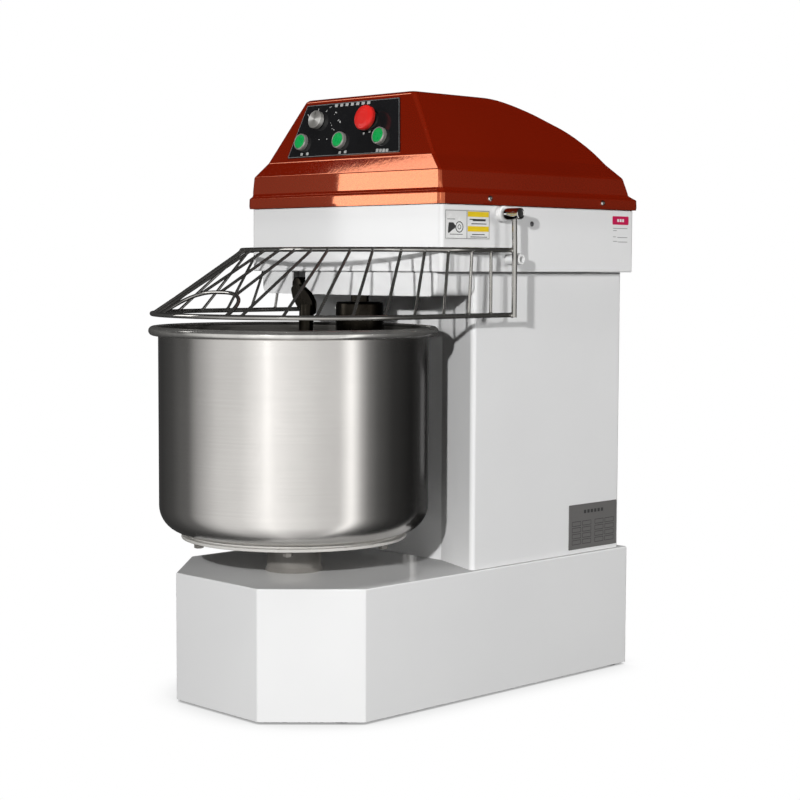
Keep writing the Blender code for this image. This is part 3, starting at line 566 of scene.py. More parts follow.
CHROME = metal("chrome", color=(0.56, 0.555, 0.545), rough=(0.05, 0.12), scale=40.0, relief=0.01)
# Dark steel, its colour pushed darker still as painted shade, since the hub and spindle shaft stand
# in shadow under the neck.
DARK_STEEL_AND_SHADE = metal("dark_steel", color=(0.026, 0.023, 0.018), rough=(0.20, 0.36), scale=30.0,
             relief=0.12, relief_scale=160.0, spots=(0.015, 0.012, 0.009))
GUARD_CHROME = metal("guard_chrome", color=(0.37, 0.36, 0.34), rough=(0.07, 0.12), scale=40.0,
                     relief=0.01, metallic=0.90)
IRON = metal("cast_iron", color=(0.22, 0.22, 0.225), rough=(0.45, 0.65), scale=90.0,
             relief=0.25, relief_scale=500.0)
RUBBER = plastic("rubber", color=(0.022, 0.022, 0.022), rough=(0.6, 0.8), relief=0.2)
PANEL_BLACK = plastic("panel_black", color=(0.011, 0.011, 0.012), rough=(0.08, 0.16), relief=0.01)
COLLAR = plastic("collar_black", color=(0.02, 0.02, 0.02), rough=(0.3, 0.45), relief=0.08)
GREEN = plastic("button_green", color=(0.004, 0.36, 0.075), rough=(0.22, 0.34))
STOP_RED = plastic("stop_red", color=(0.72, 0.022, 0.018), rough=(0.28, 0.42), relief=0.06)
BEZEL = metal("bezel_satin", color=(0.40, 0.39, 0.365), rough=(0.22, 0.34), metallic=0.45,
              relief=0.02)
# Mid grey for parts under the bowl disc: painted shade of the disc, on the white-painted bearing
# housing and on the bolts.
DISC_SHADE_GREY = metal("grey_painted_disc_shade", color=(0.20, 0.19, 0.175), rough=(0.35, 0.5), scale=40.0,
                metallic=0.1, relief=0.1)
PLATE = brushed("plate_aluminium", color=(0.195, 0.190, 0.185), rough=(0.30, 0.42), aniso=0.2,
                stretch=(8, 8, 900), lines=0.06, radial=False, metallic=0.25)
INK_BLACK = plastic("ink_black", color=(0.02, 0.02, 0.02), rough=(0.4, 0.5))
INK_DARK = plastic("ink_dark", color=(0.045, 0.045, 0.045), rough=(0.4, 0.5))
INK_MID = plastic("ink_mid", color=(0.25, 0.25, 0.25), rough=(0.4, 0.5))
INK_GREY = plastic("ink_grey", color=(0.20, 0.20, 0.20), rough=(0.35, 0.5))
INK_LIGHT = plastic("ink_light", color=(0.42, 0.42, 0.41), rough=(0.35, 0.5))
VINYL = plastic("vinyl_white", color=(0.84, 0.84, 0.83), rough=(0.2, 0.3))
YELLOW = plastic("vinyl_yellow", color=(0.86, 0.62, 0.02), rough=(0.3, 0.42))
MAGENTA = plastic("vinyl_magenta", color=(0.60, 0.012, 0.09), rough=(0.3, 0.42))
RED = cover_paint()


# -------------------------------------------------------------- base housing
def shell_rings(outline, radii, z0, z1, top_edge, low_edge, seg):
    """Outer skin of a folded sheet box: small rolled edges top and bottom."""
    levels = []
    for k in range(4):
        a = math.pi / 2 * k / 3
        levels.append((low_edge * (1 - math.sin(a)), z0 + low_edge * (1 - math.cos(a))))
    for k in range(5):
        a = math.pi / 2 * k / 4
        levels.append((top_edge * (1 - math.cos(a)), z1 - top_edge * (1 - math.sin(a))))
    return [at_z(rounded(offset(outline, inset), [max(0.5, r - inset) for r in radii], seg), z)
            for inset, z in levels]


BASE_OUTLINE = [(-BASE_FRONT_HALF, 0), (BASE_FRONT_HALF, 0), (BASE_HALF, BASE_CHAMFER_Y),
                (BASE_HALF, BASE_LEN), (-BASE_HALF, BASE_LEN), (-BASE_HALF, BASE_CHAMFER_Y)]
# Round openings in the top: one on the bowl axis, one further back.
top_holes = turned(cylinder(47.5, BASE_H - OVERCUT, BASE_H + OVERCUT), 64, upright(0, BOWL_Y))
turned(cylinder(23, BASE_H - OVERCUT, BASE_H + OVERCUT), 32, upright(-60, 500), bm=top_holes)
housing("look_base",
        skin(shell_rings(BASE_OUTLINE, [5] * 6, 0, BASE_H, top_edge=2.2, low_edge=0.8, seg=8)),
        "base_housing",
        cuts=(prism(rounded(offset(BASE_OUTLINE, SHEET), 3.0, 3), SHEET, BASE_H - SHEET),
              prism(rounded(offset(BASE_OUTLINE, 45.0), 8.0, 4), -3.0, SHEET + 3.0),
              top_holes))

FOOT = [(0, -4, 0), (20, -4, 1.2), (18.2, -0.45, 0.8), (6, -0.45, 0), (6, 16, 1.5), (0, 16, 0)]
for corner_name, x, y in (("front_left", -176, 118), ("front_right", 176, 118),
                          ("rear_left", -197, 752), ("rear_right", 197, 752)):
    turned_piece("look_foot_" + corner_name, FOOT, 36, upright(x, y), RUBBER,
                 "frame", "rubber", "foot_" + corner_name, smooth=35)

# -------------------------------------------------------------------- column
COL_OUTLINE = [(COL_RECESS_HALF, COL_RECESS_Y), (COL_HALF, COL_FRONT), (COL_HALF, COL_REAR),
               (-COL_HALF, COL_REAR), (-COL_HALF, COL_FRONT), (-COL_RECESS_HALF, COL_RECESS_Y)]
column = housing(
    "look_column",
    skin(shell_rings(COL_OUTLINE, [2, 7, 7, 7, 7, 2], COL_Z0, COL_TOP,
                     top_edge=0.8, low_edge=0.8, seg=8)),
    "column_housing",
    cuts=(prism(rounded(offset(COL_OUTLINE, SHEET), [1, 4, 4, 4, 4, 1], 3),
                COL_Z0 - 5, COL_TOP + 5),
          box(-150, 150, COL_REAR - 12, COL_REAR + 12, 290, 630)))

# Cover over the column's rear opening, with two stacks of slots.
SLOT_ROWS, SLOT_PITCH, SLOT_X, SLOT_HALF, SLOT_Z0, SLOT_H = 8, 34, 75, 55, 340, 7
slots = bmesh.new()
for i in range(SLOT_ROWS):
    z = SLOT_Z0 + SLOT_PITCH * i
    for side in (-1, 1):
        slot_outline = rounded(rect(side * SLOT_X - SLOT_HALF, side * SLOT_X + SLOT_HALF,
                                    z, z + SLOT_H), 3.3, 5)
        skin([at_y(slot_outline, COL_REAR - 6), at_y(slot_outline, COL_REAR + OVERCUT)], bm=slots)
# (height off the column, inset)
REAR_COVER_LEVELS = ((0.4, 0.0), (1.6, 0.0), (2.1, 0.25), (2.4, 0.8))
rear_cover = housing(
    "look_rear_cover",
    skin([at_y(rounded(rect(-165 + e, 165 - e, 275 + e, 645 - e), 6 - e, 6), COL_REAR + h)
          for h, e in REAR_COVER_LEVELS]),
    "rear_cover", cuts=(slots,))


# ---------------------------------------------------------------------- neck
def neck_rings(edge, inset, top):
    """Neck with its two lower side edges rounded, inset on all sides."""
    rings = []
    front_y, recess_y = COL_FRONT - NECK_GAP, COL_RECESS_Y - NECK_GAP
    for i in range(11):
        a = math.pi / 2 * i / 10
        half = NECK_HALF - NECK_EDGE + edge * math.sin(a) + inset
        outline = [(-half, NECK_FRONT), (half, NECK_FRONT), (half, front_y),
                   (COL_RECESS_HALF, recess_y), (-COL_RECESS_HALF, recess_y), (-half, front_y)]
        if inset:
            outline = offset(outline, inset)
        radii = [3, 3, 1, 1, 1, 1] if inset else [5, 5, 1, 2, 2, 1]
        rings.append(at_z(rounded(outline, radii, 8), NECK_Z0 + NECK_EDGE - edge * math.cos(a)))
    rings.append([(x, y, top) for x, y, _ in rings[-1]])
    return rings


# Spindle hole in the underside and a notch in the front wall.
neck_holes = turned(cylinder(19, NECK_Z0 - 6, NECK_Z0 + OVERCUT), 48, upright(0, SPINDLE_Y))
box(-137, -102, NECK_FRONT - OVERCUT, NECK_FRONT + OVERCUT, 683, COL_TOP + OVERCUT, bm=neck_holes)
neck = housing("look_neck", skin(neck_rings(NECK_EDGE, 0.0, COL_TOP)), "neck_housing",
               cuts=(skin(neck_rings(NECK_EDGE - SHEET, SHEET, COL_TOP + OVERCUT)), neck_holes))

# ---------------------------------------------------------------------- head
HEAD_OUTLINE = rect(-HEAD_HALF, HEAD_HALF, HEAD_FRONT, HEAD_REAR)
head = housing(
    "look_head",
    skin(shell_rings(HEAD_OUTLINE, [7] * 4, HEAD_Z0, HEAD_TOP, top_edge=0.8, low_edge=2.0, seg=10)),
    "head_housing",
    cuts=(prism(rounded(offset(HEAD_OUTLINE, SHEET), 4.0, 4), HEAD_Z0 + SHEET, HEAD_TOP + OVERCUT),
          box(-204, 204, 284, 750, HEAD_Z0 - OVERCUT, HEAD_Z0 + 5)))

# ----------------------------------------------------------------- top cover
# Silhouettes as (half width or Y, Z, corner radius), from the lip up to the roof.
HALF_LINE = fillet([
    (244.4, 824.2, 0), (245.0, 829.0, 6), (244.6, 842.0, 2.4), (240.6, 845.6, 2.0),
    (238.0, 850.0, 2.5), (235.0, 880.0, 6.0), (208.5, 905.0, 14.0), (190.6, 931.0, 60),
    (171.3, 960.0, 60), (151.0, 990.0, 60), (135.0, ROOF_Z, 12.0), (0.0, ROOF_Z, 0)], 7)
FRONT_LINE = fillet([
    (268.6, 824.2, 0), (268.0, 829.0, 6), (268.4, 842.0, 2.4), (271.6, 845.6, 2.0),
    (273.0, 850.0, 2.5), (274.5, 880.0, 6.0), (KNEE_Y, KNEE_Z, 14.0),
    (ROOF_FRONT, ROOF_Z, 7.0), (420.0, ROOF_Z, 0)], 7)
REAR_LINE = fillet([
    (771.4, 824.2, 0), (772.0, 829.0, 6), (771.6, 842.0, 2.4), (765.0, 845.6, 2.0),
    (754.0, 850.0, 3.0), (740.5, 880.0, 60), (724.5, 905.0, 120), (706.0, 930.0, 160),
    (667.0, 960.0, 220), (594.0, 990.0, 300), (549.0, 1004.0, 400), (500.0, ROOF_Z, 300),
    (420.0, ROOF_Z, 0)], 7)


def line_at(line, z):
    for (v0, z0), (v1, z1) in zip(line, line[1:]):
        if z0 <= z <= z1 and z1 > z0:
            return v0 + (v1 - v0) * (z - z0) / (z1 - z0)
    # Rounded heights can miss every segment near the flat roof.
    return next(v for v, height in line if abs(height - z) < 1e-6 or height > z)


def cover_heights():
    """Every height on the three lines, thinned, with long gaps split to about 5 mm."""
    found = sorted(set(round(z, 3) for line in (HALF_LINE, FRONT_LINE, REAR_LINE)
                       for _, z in line))
    kept = [found[0]]
    for z in found[1:]:
        if z - kept[-1] > 0.22:
            kept.append(z)
    kept[-1] = ROOF_Z
    extra = []
    for a, b in zip(kept, kept[1:]):
        n = int((b - a) / 5.0)
        extra += [a + (b - a) * (i + 1) / (n + 1) for i in range(n)]
    return sorted(kept + extra)


def cover_ring(z, wall=0.0, drop=0.0):
    """Cover outline at height z, inset by wall and lowered by drop."""
    half = line_at(HALF_LINE, z) - wall
    front = line_at(FRONT_LINE, z) + wall
    rear = line_at(REAR_LINE, z) - wall
    if z < 846:
        radius = 10.0
    elif z < 852:
        radius = 10.0 - (z - 846) / 6 * 5.0
    elif z < 915:
        radius = 5.0
    else:
        radius = 5.0 + min(1.0, (z - 915) / 85.0) * 3.0
    return at_z(rounded(rect(-half, half, front, rear), max(1.0, radius - wall), 9), z - drop)


def cover_shell():
    """Outer and inner skins, closed at the roof and joined around the lip."""
    heights = cover_heights()
    lip = heights[0]
    bm = bmesh.new()
    outer = [[bm.verts.new(p) for p in cover_ring(z)] for z in heights]
    inner = [[bm.verts.new(p) for p in cover_ring(z, 4.0, 3.4 * (z - lip) / (ROOF_Z - lip))]
             for z in heights[::3] + [heights[-1]]]
    n = len(outer[0])
    for rings, flip in ((outer, False), (inner, True)):
        for a, b in zip(rings, rings[1:]):
            for j in range(n):
                k = (j + 1) % n
                quad = (a[j], a[k], b[k], b[j])
                bm.faces.new(quad[::-1] if flip else quad)
    bm.faces.new(outer[-1])
    bm.faces.new(inner[-1][::-1])
    for j in range(n):
        k = (j + 1) % n
        bm.faces.new((outer[0][j], outer[0][k], inner[0][k], inner[0][j]))
    return bm


piece("look_top_cover", cover_shell(), RED, "frame", "red_cover_paint", "top_cover",
      smooth=28, flat=True)

# Dark sealing strip under the cover's lip, as (inset, Z).
SEAL_SECTION = ((0.5, HEAD_TOP + 0.02), (0.5, 824.9), (5.0, 824.9), (5.0, HEAD_TOP + 0.02))
seal = [at_z(rounded(rect(-HEAD_HALF + inset, HEAD_HALF - inset,
                          HEAD_FRONT + inset, HEAD_REAR - inset), 6.0, 6), z)
        for inset, z in SEAL_SECTION]
piece("look_cover_seal", skin(seal, looped=True), COLLAR, "frame", "rubber", smooth=30)

# ------------------------------------------------------------- control panel
# Places on the sloping face are (x, distance up the slope from the knee), then height.
SLOPE_UP = Vector((0, math.sin(LEAN), math.cos(LEAN)))
SLOPE_OUT = Vector((0, -math.cos(LEAN), math.sin(LEAN)))
KNEE = Vector((0, KNEE_Y, KNEE_Z))
PANEL = [(-154.4, 5.8), (130.8, 5.5), (107.1, 101.0), (-125.4, 100.7)]
PANEL_BASE = 0.6
PANEL_T = 1.6
PANEL_TOP = PANEL_BASE + PANEL_T
SEAT = PANEL_TOP + FIT_GAP
KNOB_AT = (-89.2, 71.4)
STOP_AT = (50.5, 63.2)
BUTTONS = [("left", -120.4, 33.2), ("middle", -21.6, 32.1), ("right", 77.6, 35.0)]


def face_point(x, up, height=0.0):
    return KNEE + Vector((x, 0, 0)) + SLOPE_UP * up + SLOPE_OUT * height


def on_face(outline, height):
    return [face_point(x, up, height) for x, up in outline]


def face_axes(x, up):
    return (face_point(x, up), Vector((1, 0, 0)), SLOPE_UP, SLOPE_OUT)


# (height, inset)
PANEL_LEVELS = ((PANEL_BASE, 0), (PANEL_TOP - 0.4, 0), (PANEL_TOP - 0.12, 0.12), (PANEL_TOP, 0.4))
piece("look_control_panel",
      skin([on_face(rounded(offset(PANEL, inset), max(0.4, 2.5 - inset), 5), height)
            for height, inset in PANEL_LEVELS]),
      PANEL_BLACK, "frame", "panel_black", "control_panel", smooth=30, flat=True)

# Printed border line, as thin raised ink.
border_out = rounded(offset(PANEL, 1.0), 1.8, 5)
border_in = rounded(offset(PANEL, 1.9), 1.2, 5)
border = [on_face(border_out, PANEL_TOP + 0.01), on_face(border_out, PANEL_TOP + 0.14),
          on_face(border_in, PANEL_TOP + 0.14), on_face(border_in, PANEL_TOP + 0.01)]
piece("look_panel_border", skin(border, looped=True), INK_GREY, "frame", "panel_black", smooth=0)

# Printed marks as (x, up, width, length, degrees turned).
MARKS = [(-48.2 + 13.5 * i, 96.0, 7.6, 5.2, 0) for i in range(7)]
MARKS += [(-117.1, 12.1, 6.0, 5.0, 0), (-102.2, 12.3, 6.0, 5.0, 0),
          (-18.0, 11.2, 6.0, 5.0, 0), (-4.0, 11.6, 6.0, 5.0, 0)]
MARKS += [(75.3 + 8.0 * i, 10.7 - 0.3 * i, 6.4, 5.4, 0) for i in range(4)]
MARKS += [(-93.4, 91.4, 1.6, 4.0, 15), (-118.1, 82.4, 1.6, 4.6, 40), (-114.5, 76.0, 1.2, 2.4, 70),
          (-71.4, 87.6, 1.4, 4.2, -35), (-62.7, 94.3, 5.0, 1.4, 20), (-46.2, 83.7, 5.2, 1.8, -12),
          (-49.5, 80.4, 1.4, 1.8, 0), (-31.3, 66.2, 3.2, 3.6, 30), (-36.5, 69.0, 4.0, 1.4, 35),
          (-51.7, 60.9, 1.6, 1.8, 0), (-55.0, 65.5, 1.2, 1.4, 0), (-43.7, 52.6, 3.8, 1.3, -20),
          (-48.5, 55.0, 1.2, 1.8, 0), (-77.8, 36.8, 2.4, 2.0, 0), (-58.0, 36.6, 2.2, 2.4, 0),
          (34.4, 42.2, 3.4, 3.8, 0), (48.0, 45.4, 4.6, 4.8, 0)]
marks = bmesh.new()
for x, up, width, length, degrees in MARKS:
    c, s = math.cos(math.radians(degrees)), math.sin(math.radians(degrees))
    tile = rounded(rect(-width / 2, width / 2, -length / 2, length / 2),
                   min(width, length) * 0.2, 2)
    tile = [(x + c * a - s * b, up + s * a + c * b) for a, b in tile]
    skin([on_face(tile, PANEL_TOP + height) for height in (0.01, 0.12)], bm=marks)
piece("look_panel_marks", marks, INK_LIGHT, "frame", "panel_black", smooth=0)

BEZEL_ROWS = [(12.5, SEAT, 0), (12.5, PANEL_TOP + 7.8, 0.3), (13.0, PANEL_TOP + 8.35, 0.3),
              (13.7, PANEL_TOP + 8.1, 0.5), (14.75, PANEL_TOP + 6.4, 0.9), (14.75, SEAT, 0)]
BUTTON_ROWS = [(0, -14, 0), (4.0, -14, 0.4), (4.0, PANEL_TOP + 4.2, 0),
               (12.1, PANEL_TOP + 4.2, 0), (12.1, PANEL_TOP + 7.9, 0.6),
               (11.0, PANEL_TOP + 8.5, 1.0), (5.0, PANEL_TOP + 8.8, 4), (0, PANEL_TOP + 8.85, 0)]
for side_name, x, up in BUTTONS:
    turned_piece("look_bezel_" + side_name, BEZEL_ROWS, 64, face_axes(x, up), BEZEL,
                 "frame", "chrome", "button_bezel_" + side_name, closed=True)
    turned_piece("look_button_" + side_name, BUTTON_ROWS, 56, face_axes(x, up), GREEN,
                 side_name + "_button", "button_green", "start_button_" + side_name)

COLLAR_ROWS = [(11.4, SEAT, 0), (11.4, PANEL_TOP + 4.6, 0), (13.2, PANEL_TOP + 4.6, 0.5),
               (15.0, PANEL_TOP + 3.2, 0.8), (15.0, SEAT, 0)]
turned_piece("look_stop_collar", COLLAR_ROWS, 64, face_axes(*STOP_AT), COLLAR,
             "frame", "panel_black", "emergency_stop_collar", closed=True)
STOP_ROWS = [(0, -18, 0), (5.4, -18, 0.5), (5.4, PANEL_TOP + 5.6, 0.5),
             (9.5, PANEL_TOP + 6.2, 1.0), (11.0, PANEL_TOP + 12.2, 1.0),
             (19.0, PANEL_TOP + 12.6, 1.2), (21.2, PANEL_TOP + 14.6, 1.5),
             (21.5, PANEL_TOP + 20.5, 2.2), (20.0, PANEL_TOP + 23.6, 2.4),
             (13.0, PANEL_TOP + 25.4, 6.0), (0, PANEL_TOP + 25.9, 0)]
turned_piece("look_stop_button", STOP_ROWS, 72, face_axes(*STOP_AT), STOP_RED,
             "emergency_stop", "stop_red", "emergency_stop_button", seg=5)

# Selector knob: turned cap with a fine knurl and a pointer line.
KNOB_ROWS = [(0, -16, 0), (3.4, -16, 0.3), (3.4, SEAT, 0), (15.0, SEAT, 0.3),
             (15.9, PANEL_TOP + 1.4, 0.3), (15.9, PANEL_TOP + 9.0, 0.5),
             (14.9, PANEL_TOP + 10.0, 0.5), (14.0, PANEL_TOP + 9.7, 0.3), (0, PANEL_TOP + 9.7, 0)]


def knurl(step, radius, height):
    on_side = 15.5 < radius and PANEL_TOP + 1.6 < height < PANEL_TOP + 9.0
    return 0.35 if on_side and step % 3 == 0 else 0.0


def knob_painted_glint():
    """Turned face with a painted glint: two opposite bright wedges of base colour around the knob's
    axis.
    """
    material, graph, bsdf = new_material("knob_turned_face")
    origin, across, up, _ = face_axes(*KNOB_AT)
    position = graph.add("NewGeometry").outputs["Position"]
    arm = graph.add("VectorMath", {0: position, 1: world(origin)}, operation="SUBTRACT").outputs[0]
    along_x, along_up = [
        graph.add("VectorMath", {0: arm, 1: axis}, operation="DOT_PRODUCT").outputs["Value"]
        for axis in (across, up)]
    angle = graph.math("ARCTAN2", along_up, along_x)
    wave = graph.math("COSINE", graph.math("MULTIPLY_ADD", angle, 2.0, 0.35))
    # Painted highlight: the wedges brighten the base colour where the face's glint would be.
    glint_wedges = graph.ramp(graph.math("MULTIPLY_ADD", wave, 0.5, 0.5), [
        (0.0, (0.20, 0.195, 0.18)), (0.45, (0.24, 0.235, 0.22)),
        (0.80, (0.36, 0.35, 0.33)), (0.97, (0.70, 0.69, 0.66))])
    grain = graph.fade(graph.noise(scale=900.0, detail=4.0, roughness=0.6), 0.86, 1.0)
    color = graph.multiply(glint_wedges, grain)
    gloss = graph.fade(graph.noise(scale=300.0, detail=4.0, roughness=0.6), 0.28, 0.4)
    graph.set(bsdf, {"Base Color": color, "Metallic": 0.2, "Roughness": gloss})
    return material


turned_piece("look_selector_knob", KNOB_ROWS, 144, face_axes(*KNOB_AT), knob_painted_glint(),
             "selector", "aluminium", "speed_knob", seg=3, groove=knurl, smooth=35)
pointer = [(KNOB_AT[0] + x, KNOB_AT[1] + up)
           for x, up in rounded(rect(-0.7, 0.7, 7.2, 13.2), 0.5, 3)]
piece("look_selector_pointer", skin([on_face(pointer, PANEL_TOP + h) for h in (9.72, 9.9)]),
      INK_BLACK, "selector", "panel_black", smooth=0)

# ------------------------------------------------------- screws of the cover
SCREW_Z = 835
SCREW_ROWS = [(0, -6, 0), (2.3, -6, 0), (2.3, FIT_GAP, 0), (4.6, FIT_GAP, 0.3), (4.6, 1.4, 0.6),
              (3.2, 3.0, 1.2), (0, 3.2, 0)]
for side, side_name in ((-1, "left"), (1, "right")):
    x0, x1 = sorted((side * 247.0, side * 250.0))
    for y, where in ((381, "front"), (670, "rear")):
        # The two bars of the cross recess.
        cross = [box(x0, x1, y - dy, y + dy, SCREW_Z - dz, SCREW_Z + dz)
                 for dy, dz in ((0.45, 2.3), (2.3, 0.45))]
        screw_name = "%s_%s" % (where, side_name)
        turned_piece("look_screw_" + screw_name, SCREW_ROWS, 32,
                     sideways(side * 245, y, SCREW_Z, side), STEEL,
                     "frame", "stainless", "cover_screw_" + screw_name, cuts=cross)
# Small blanking screw on the right cheek of the head.
turned_piece("look_cheek_screw",
             [(0, 0.05, 0), (4.2, 0.05, 0), (4.2, 1.0, 0.4), (2.6, 1.8, 0.8), (0, 1.9, 0)],
             28, sideways(HEAD_HALF, 492, 795, 1), IRON, "frame", "cast_iron", seg=3)


# ---------------------------------------------------------- bowl and its disc
def arc(radius, height, bend, degrees):
    return [(radius + bend * math.cos(math.radians(d)), height + bend * math.sin(math.radians(d)))
            for d in degrees]


def bowl_profile():
    """Up the outside, around the rim bead and down the inside."""
    corner_r, corner_z = BOWL_R - BOWL_CORNER, BOWL_Z0 + BOWL_CORNER
    points = [(0, BOWL_Z0)]
    points += arc(corner_r, corner_z, BOWL_CORNER, [-90 + 7.5 * i for i in range(13)])
    points += [(BOWL_R, z) for z in (360, 400, 440, 480, 520, 560, 590, 602)]
    points.append((BOWL_R, RIM_Z - 5.6))
    points += arc(RIM_R, RIM_Z, RIM_TUBE, [-138 + 11.9 * i for i in range(1, 24)])
    points.append((BOWL_R - BOWL_T + 0.1, RIM_Z + 2.5))
    points.append((BOWL_R - BOWL_T, RIM_Z - 1.5))
    points += [(BOWL_R - BOWL_T, z) for z in (590, 540, 480, 420, 360)]
    points += arc(corner_r, corner_z, BOWL_CORNER - BOWL_T, [-7.5 * i for i in range(13)])
    points.append((0, BOWL_Z0 + BOWL_T))
    return points


bowl = mesh_object("look_bowl", lathe(bowl_profile(), 160, upright(0, BOWL_Y)), BOWL_OUT, smooth=50)
bowl.data.materials.append(RIM)
bowl.data.materials.append(BOWL_INSIDE_SHADED)
vertices = bowl.data.vertices
bowl_middle = sum((v.co for v in vertices), Vector()) / len(vertices)
rim_from = min(v.co.z for v in vertices) + (RIM_Z - 8.6 - BOWL_Z0) * MM
# Rim bead faces take the rim steel; faces turned to the axis and the inner floor take the darkened
# inside steel, painted shade.
for face in bowl.data.polygons:
    out = face.center - bowl_middle
    if face.center.z > rim_from and math.hypot(out.x, out.y) > (BOWL_R + 1.0) * MM:
        face.material_index = 1
    elif face.normal.x * out.x + face.normal.y * out.y < 0 or face.normal.z > 0.7:
        face.material_index = 2
place(bowl, "bowl_assembly", "stainless", "bowl")

DISC_ROWS = [(0, DISC_Z, 0), (DISC_R, DISC_Z, 1.4), (DISC_R, DISC_Z + DISC_T, 1.4),
             (STEP_R + 0.2, DISC_Z + DISC_T, 0.8), (STEP_R, BOWL_Z0 - 0.4, 0.8),
             (0, BOWL_Z0 - 0.4, 0)]
turned_piece("look_bowl_disc", DISC_ROWS, 160, upright(0, BOWL_Y), DISC_WHITE,
             "bowl_assembly", "white_paint", "bowl_disc")

# Hexagon bolts with washers under the disc; head levels are (radius, Z).
BOLT_LEVELS = ((6.6, DISC_Z - 8.6), (8.0, DISC_Z - 7.6), (8.0, DISC_Z - 1.9))
for i in range(6):
    a = math.radians(-44.0 + 60 * i)
    x, y = BOLT_CIRCLE_R * math.cos(a), BOWL_Y + BOLT_CIRCLE_R * math.sin(a)
    bolt = skin([[(x + r * math.cos(math.pi * j / 3), y + r * math.sin(math.pi * j / 3), z)
                  for j in range(6)] for r, z in BOLT_LEVELS])
    turned(cylinder(8.6, DISC_Z - 1.9, DISC_Z - 0.4, 0.4, 0.4), 28, upright(x, y), seg=3, bm=bolt)
    # The bolts take the grey that paints the shade under the disc.
    piece("look_bowl_bolt_%d" % (i + 1), bolt, DISC_SHADE_GREY,
          "bowl_assembly", "stainless", "bowl_bolt_%d" % (i + 1), smooth=30)

SHAFT_ROWS = [(0, 60, 0), (25, 60, 1.0), (25, 262.5, 0.6), (44, 262.5, 1.0), (44, 270.6, 1.0),
              (0, 270.6, 0)]
turned_piece("look_bowl_shaft", SHAFT_ROWS, 64, upright(0, BOWL_Y), STEEL,
             "bowl_assembly", "stainless", "bowl_shaft", seg=3)
BEARING_ROWS = [(39.0, 110, 0), (39.0, 262, 0.6), (45.5, 262, 1.0), (45.5, 222, 1.5),
                (49.0, 214.4, 0.5), (49.0, 210.4, 0), (75, 210.4, 1.5), (75, 198, 1.5),
                (48, 198, 1), (48, 110, 0.5)]
# The white-painted housing takes the grey that paints the disc's shade on it.
turned_piece("look_bearing_housing", BEARING_ROWS, 96, upright(0, BOWL_Y), DISC_SHADE_GREY,
             "frame", "white_paint", "bowl_bearing_housing", seg=3, closed=True)

# ------------------------------------------------------------ spiral and hub
HOOK_START_R = 22.0
HOOK_R = 49.0
HOOK_ROD_R = 15.5
HOOK_TOP = 602
HOOK_LOW = 308.0
HOOK_TURNS = 1.75
HOOK_STEPS = 260


def hook_point(t):
    """Centre of the rod, from the hub (t = 0) to the tip (t = 1)."""
    angle = math.radians(150) - 2 * math.pi * HOOK_TURNS * t
    z = HOOK_TOP + (HOOK_LOW - HOOK_TOP) * min(1.0, t / 0.97) ** 0.96
    grow = min(1.0, t / 0.16)
    grow = grow * grow * (3 - 2 * grow)
    shrink = max(0.0, (t - 0.80) / 0.20)
    r = HOOK_START_R + (HOOK_R - HOOK_START_R) * grow - 30.0 * shrink ** 1.5
    return (r * math.cos(angle), SPINDLE_Y + r * math.sin(angle), z)


def hook_radius(t):
    """Rod radius: tapers over the last quarter."""
    return HOOK_ROD_R * (1.0 - 0.35 * max(0.0, (t - 0.75) / 0.25))


hook_steps = [i / HOOK_STEPS for i in range(HOOK_STEPS + 1)]
rod = tube([hook_point(t) for t in hook_steps], [hook_radius(t) for t in hook_steps], 28)
hub = turned(cylinder(HUB_R, HUB_Z0, HUB_Z1, 5.0, 5.0), 96, upright(0, SPINDLE_Y), seg=6)
# The hub takes the darkened steel, which paints the shade under the neck.
piece("look_spiral_hook", hub, DARK_STEEL_AND_SHADE, "hook_assembly", "dark_steel", "spiral_hook",
      smooth=0, joins=(rod,), resmooth=45)

# ------------------------------------------------------------------ centre bar
# Flat leaf in front of the neck, as (x, z, corner radius).
LEAF = [(-127, 684, 6), (-113, 691, 6), (-99, 684, 6), (-84, 674, 8), (-73, 660, 10),
        (-74, 640, 6), (-101, 640, 6), (-112, 655, 12), (-122, 668, 10)]
# (y, outward offset): the outline runs clockwise seen from the front.
LEAF_LEVELS = ((271.0, 1.6), (271.5, 0.6), (272.6, 0.0), (279.9, 0.0), (281.0, 0.6), (281.5, 1.6))
leaf_outline = rounded([(x, z) for x, z, _ in LEAF], [r for _, _, r in LEAF], 6)
leaf = skin([at_y(offset(leaf_outline, out) if out else leaf_outline, y) for y, out in LEAF_LEVELS])
# Rearward boss at the top of the leaf, and the round bar hanging into the bowl.
eye = turned(cylinder(12.3, 276.5, 312, 2.0, 1.5), 48,
             ((-119.5, 0, 691.0), (1, 0, 0), (0, 0, 1), (0, 1, 0)))
bar = tube([(-87 + 20 * t, 272 - 52 * t ** 1.2, 655 - 352 * t) for t in [i / 60 for i in range(61)]],
           [12.9] * 57 + [12.6, 11.8, 10.4, 8.2], 32)
piece("look_center_bar", leaf, DARK_STEEL_AND_SHADE, "frame", "dark_steel", "center_bar",
      smooth=0, joins=(eye, bar), resmooth=40)

# --------------------------------------------------------------------- guard
RAIL_HALF = 261.0
RAIL_WIRE = 4.0       # wire radii
BAR_WIRE = 2.5
ARM_X = 267.5
ARM_Y = 418.0
ARM_WELD_X = 264.6
LOOP_START = 0.422    # share of the way around where the front loop starts
LOOP_RISE = 0.345     # its height as a share of the guard's
LOOP_POWER = 0.7      # squareness of its curve
# Arc length of each bar's two ends, from the right arm around to the left.
BARS_LOW = [50, 102, 160, 225, 283.5, 338.5, 395.5, 447.5, 516.5, 578, 625, 678,
            745, 792, 843, 896, 952, 1014, 1071, 1126, 1183.5]
BARS_TOP = [50, 94, 138, 177, 215, 261.5, 300, 341.5, 374, 411.5, 450, 492.5,
            547, 580.6, 614.3, 647.9, 681.5, 715.1, 748.8, 782.4, 816]
BARS = len(BARS_LOW)


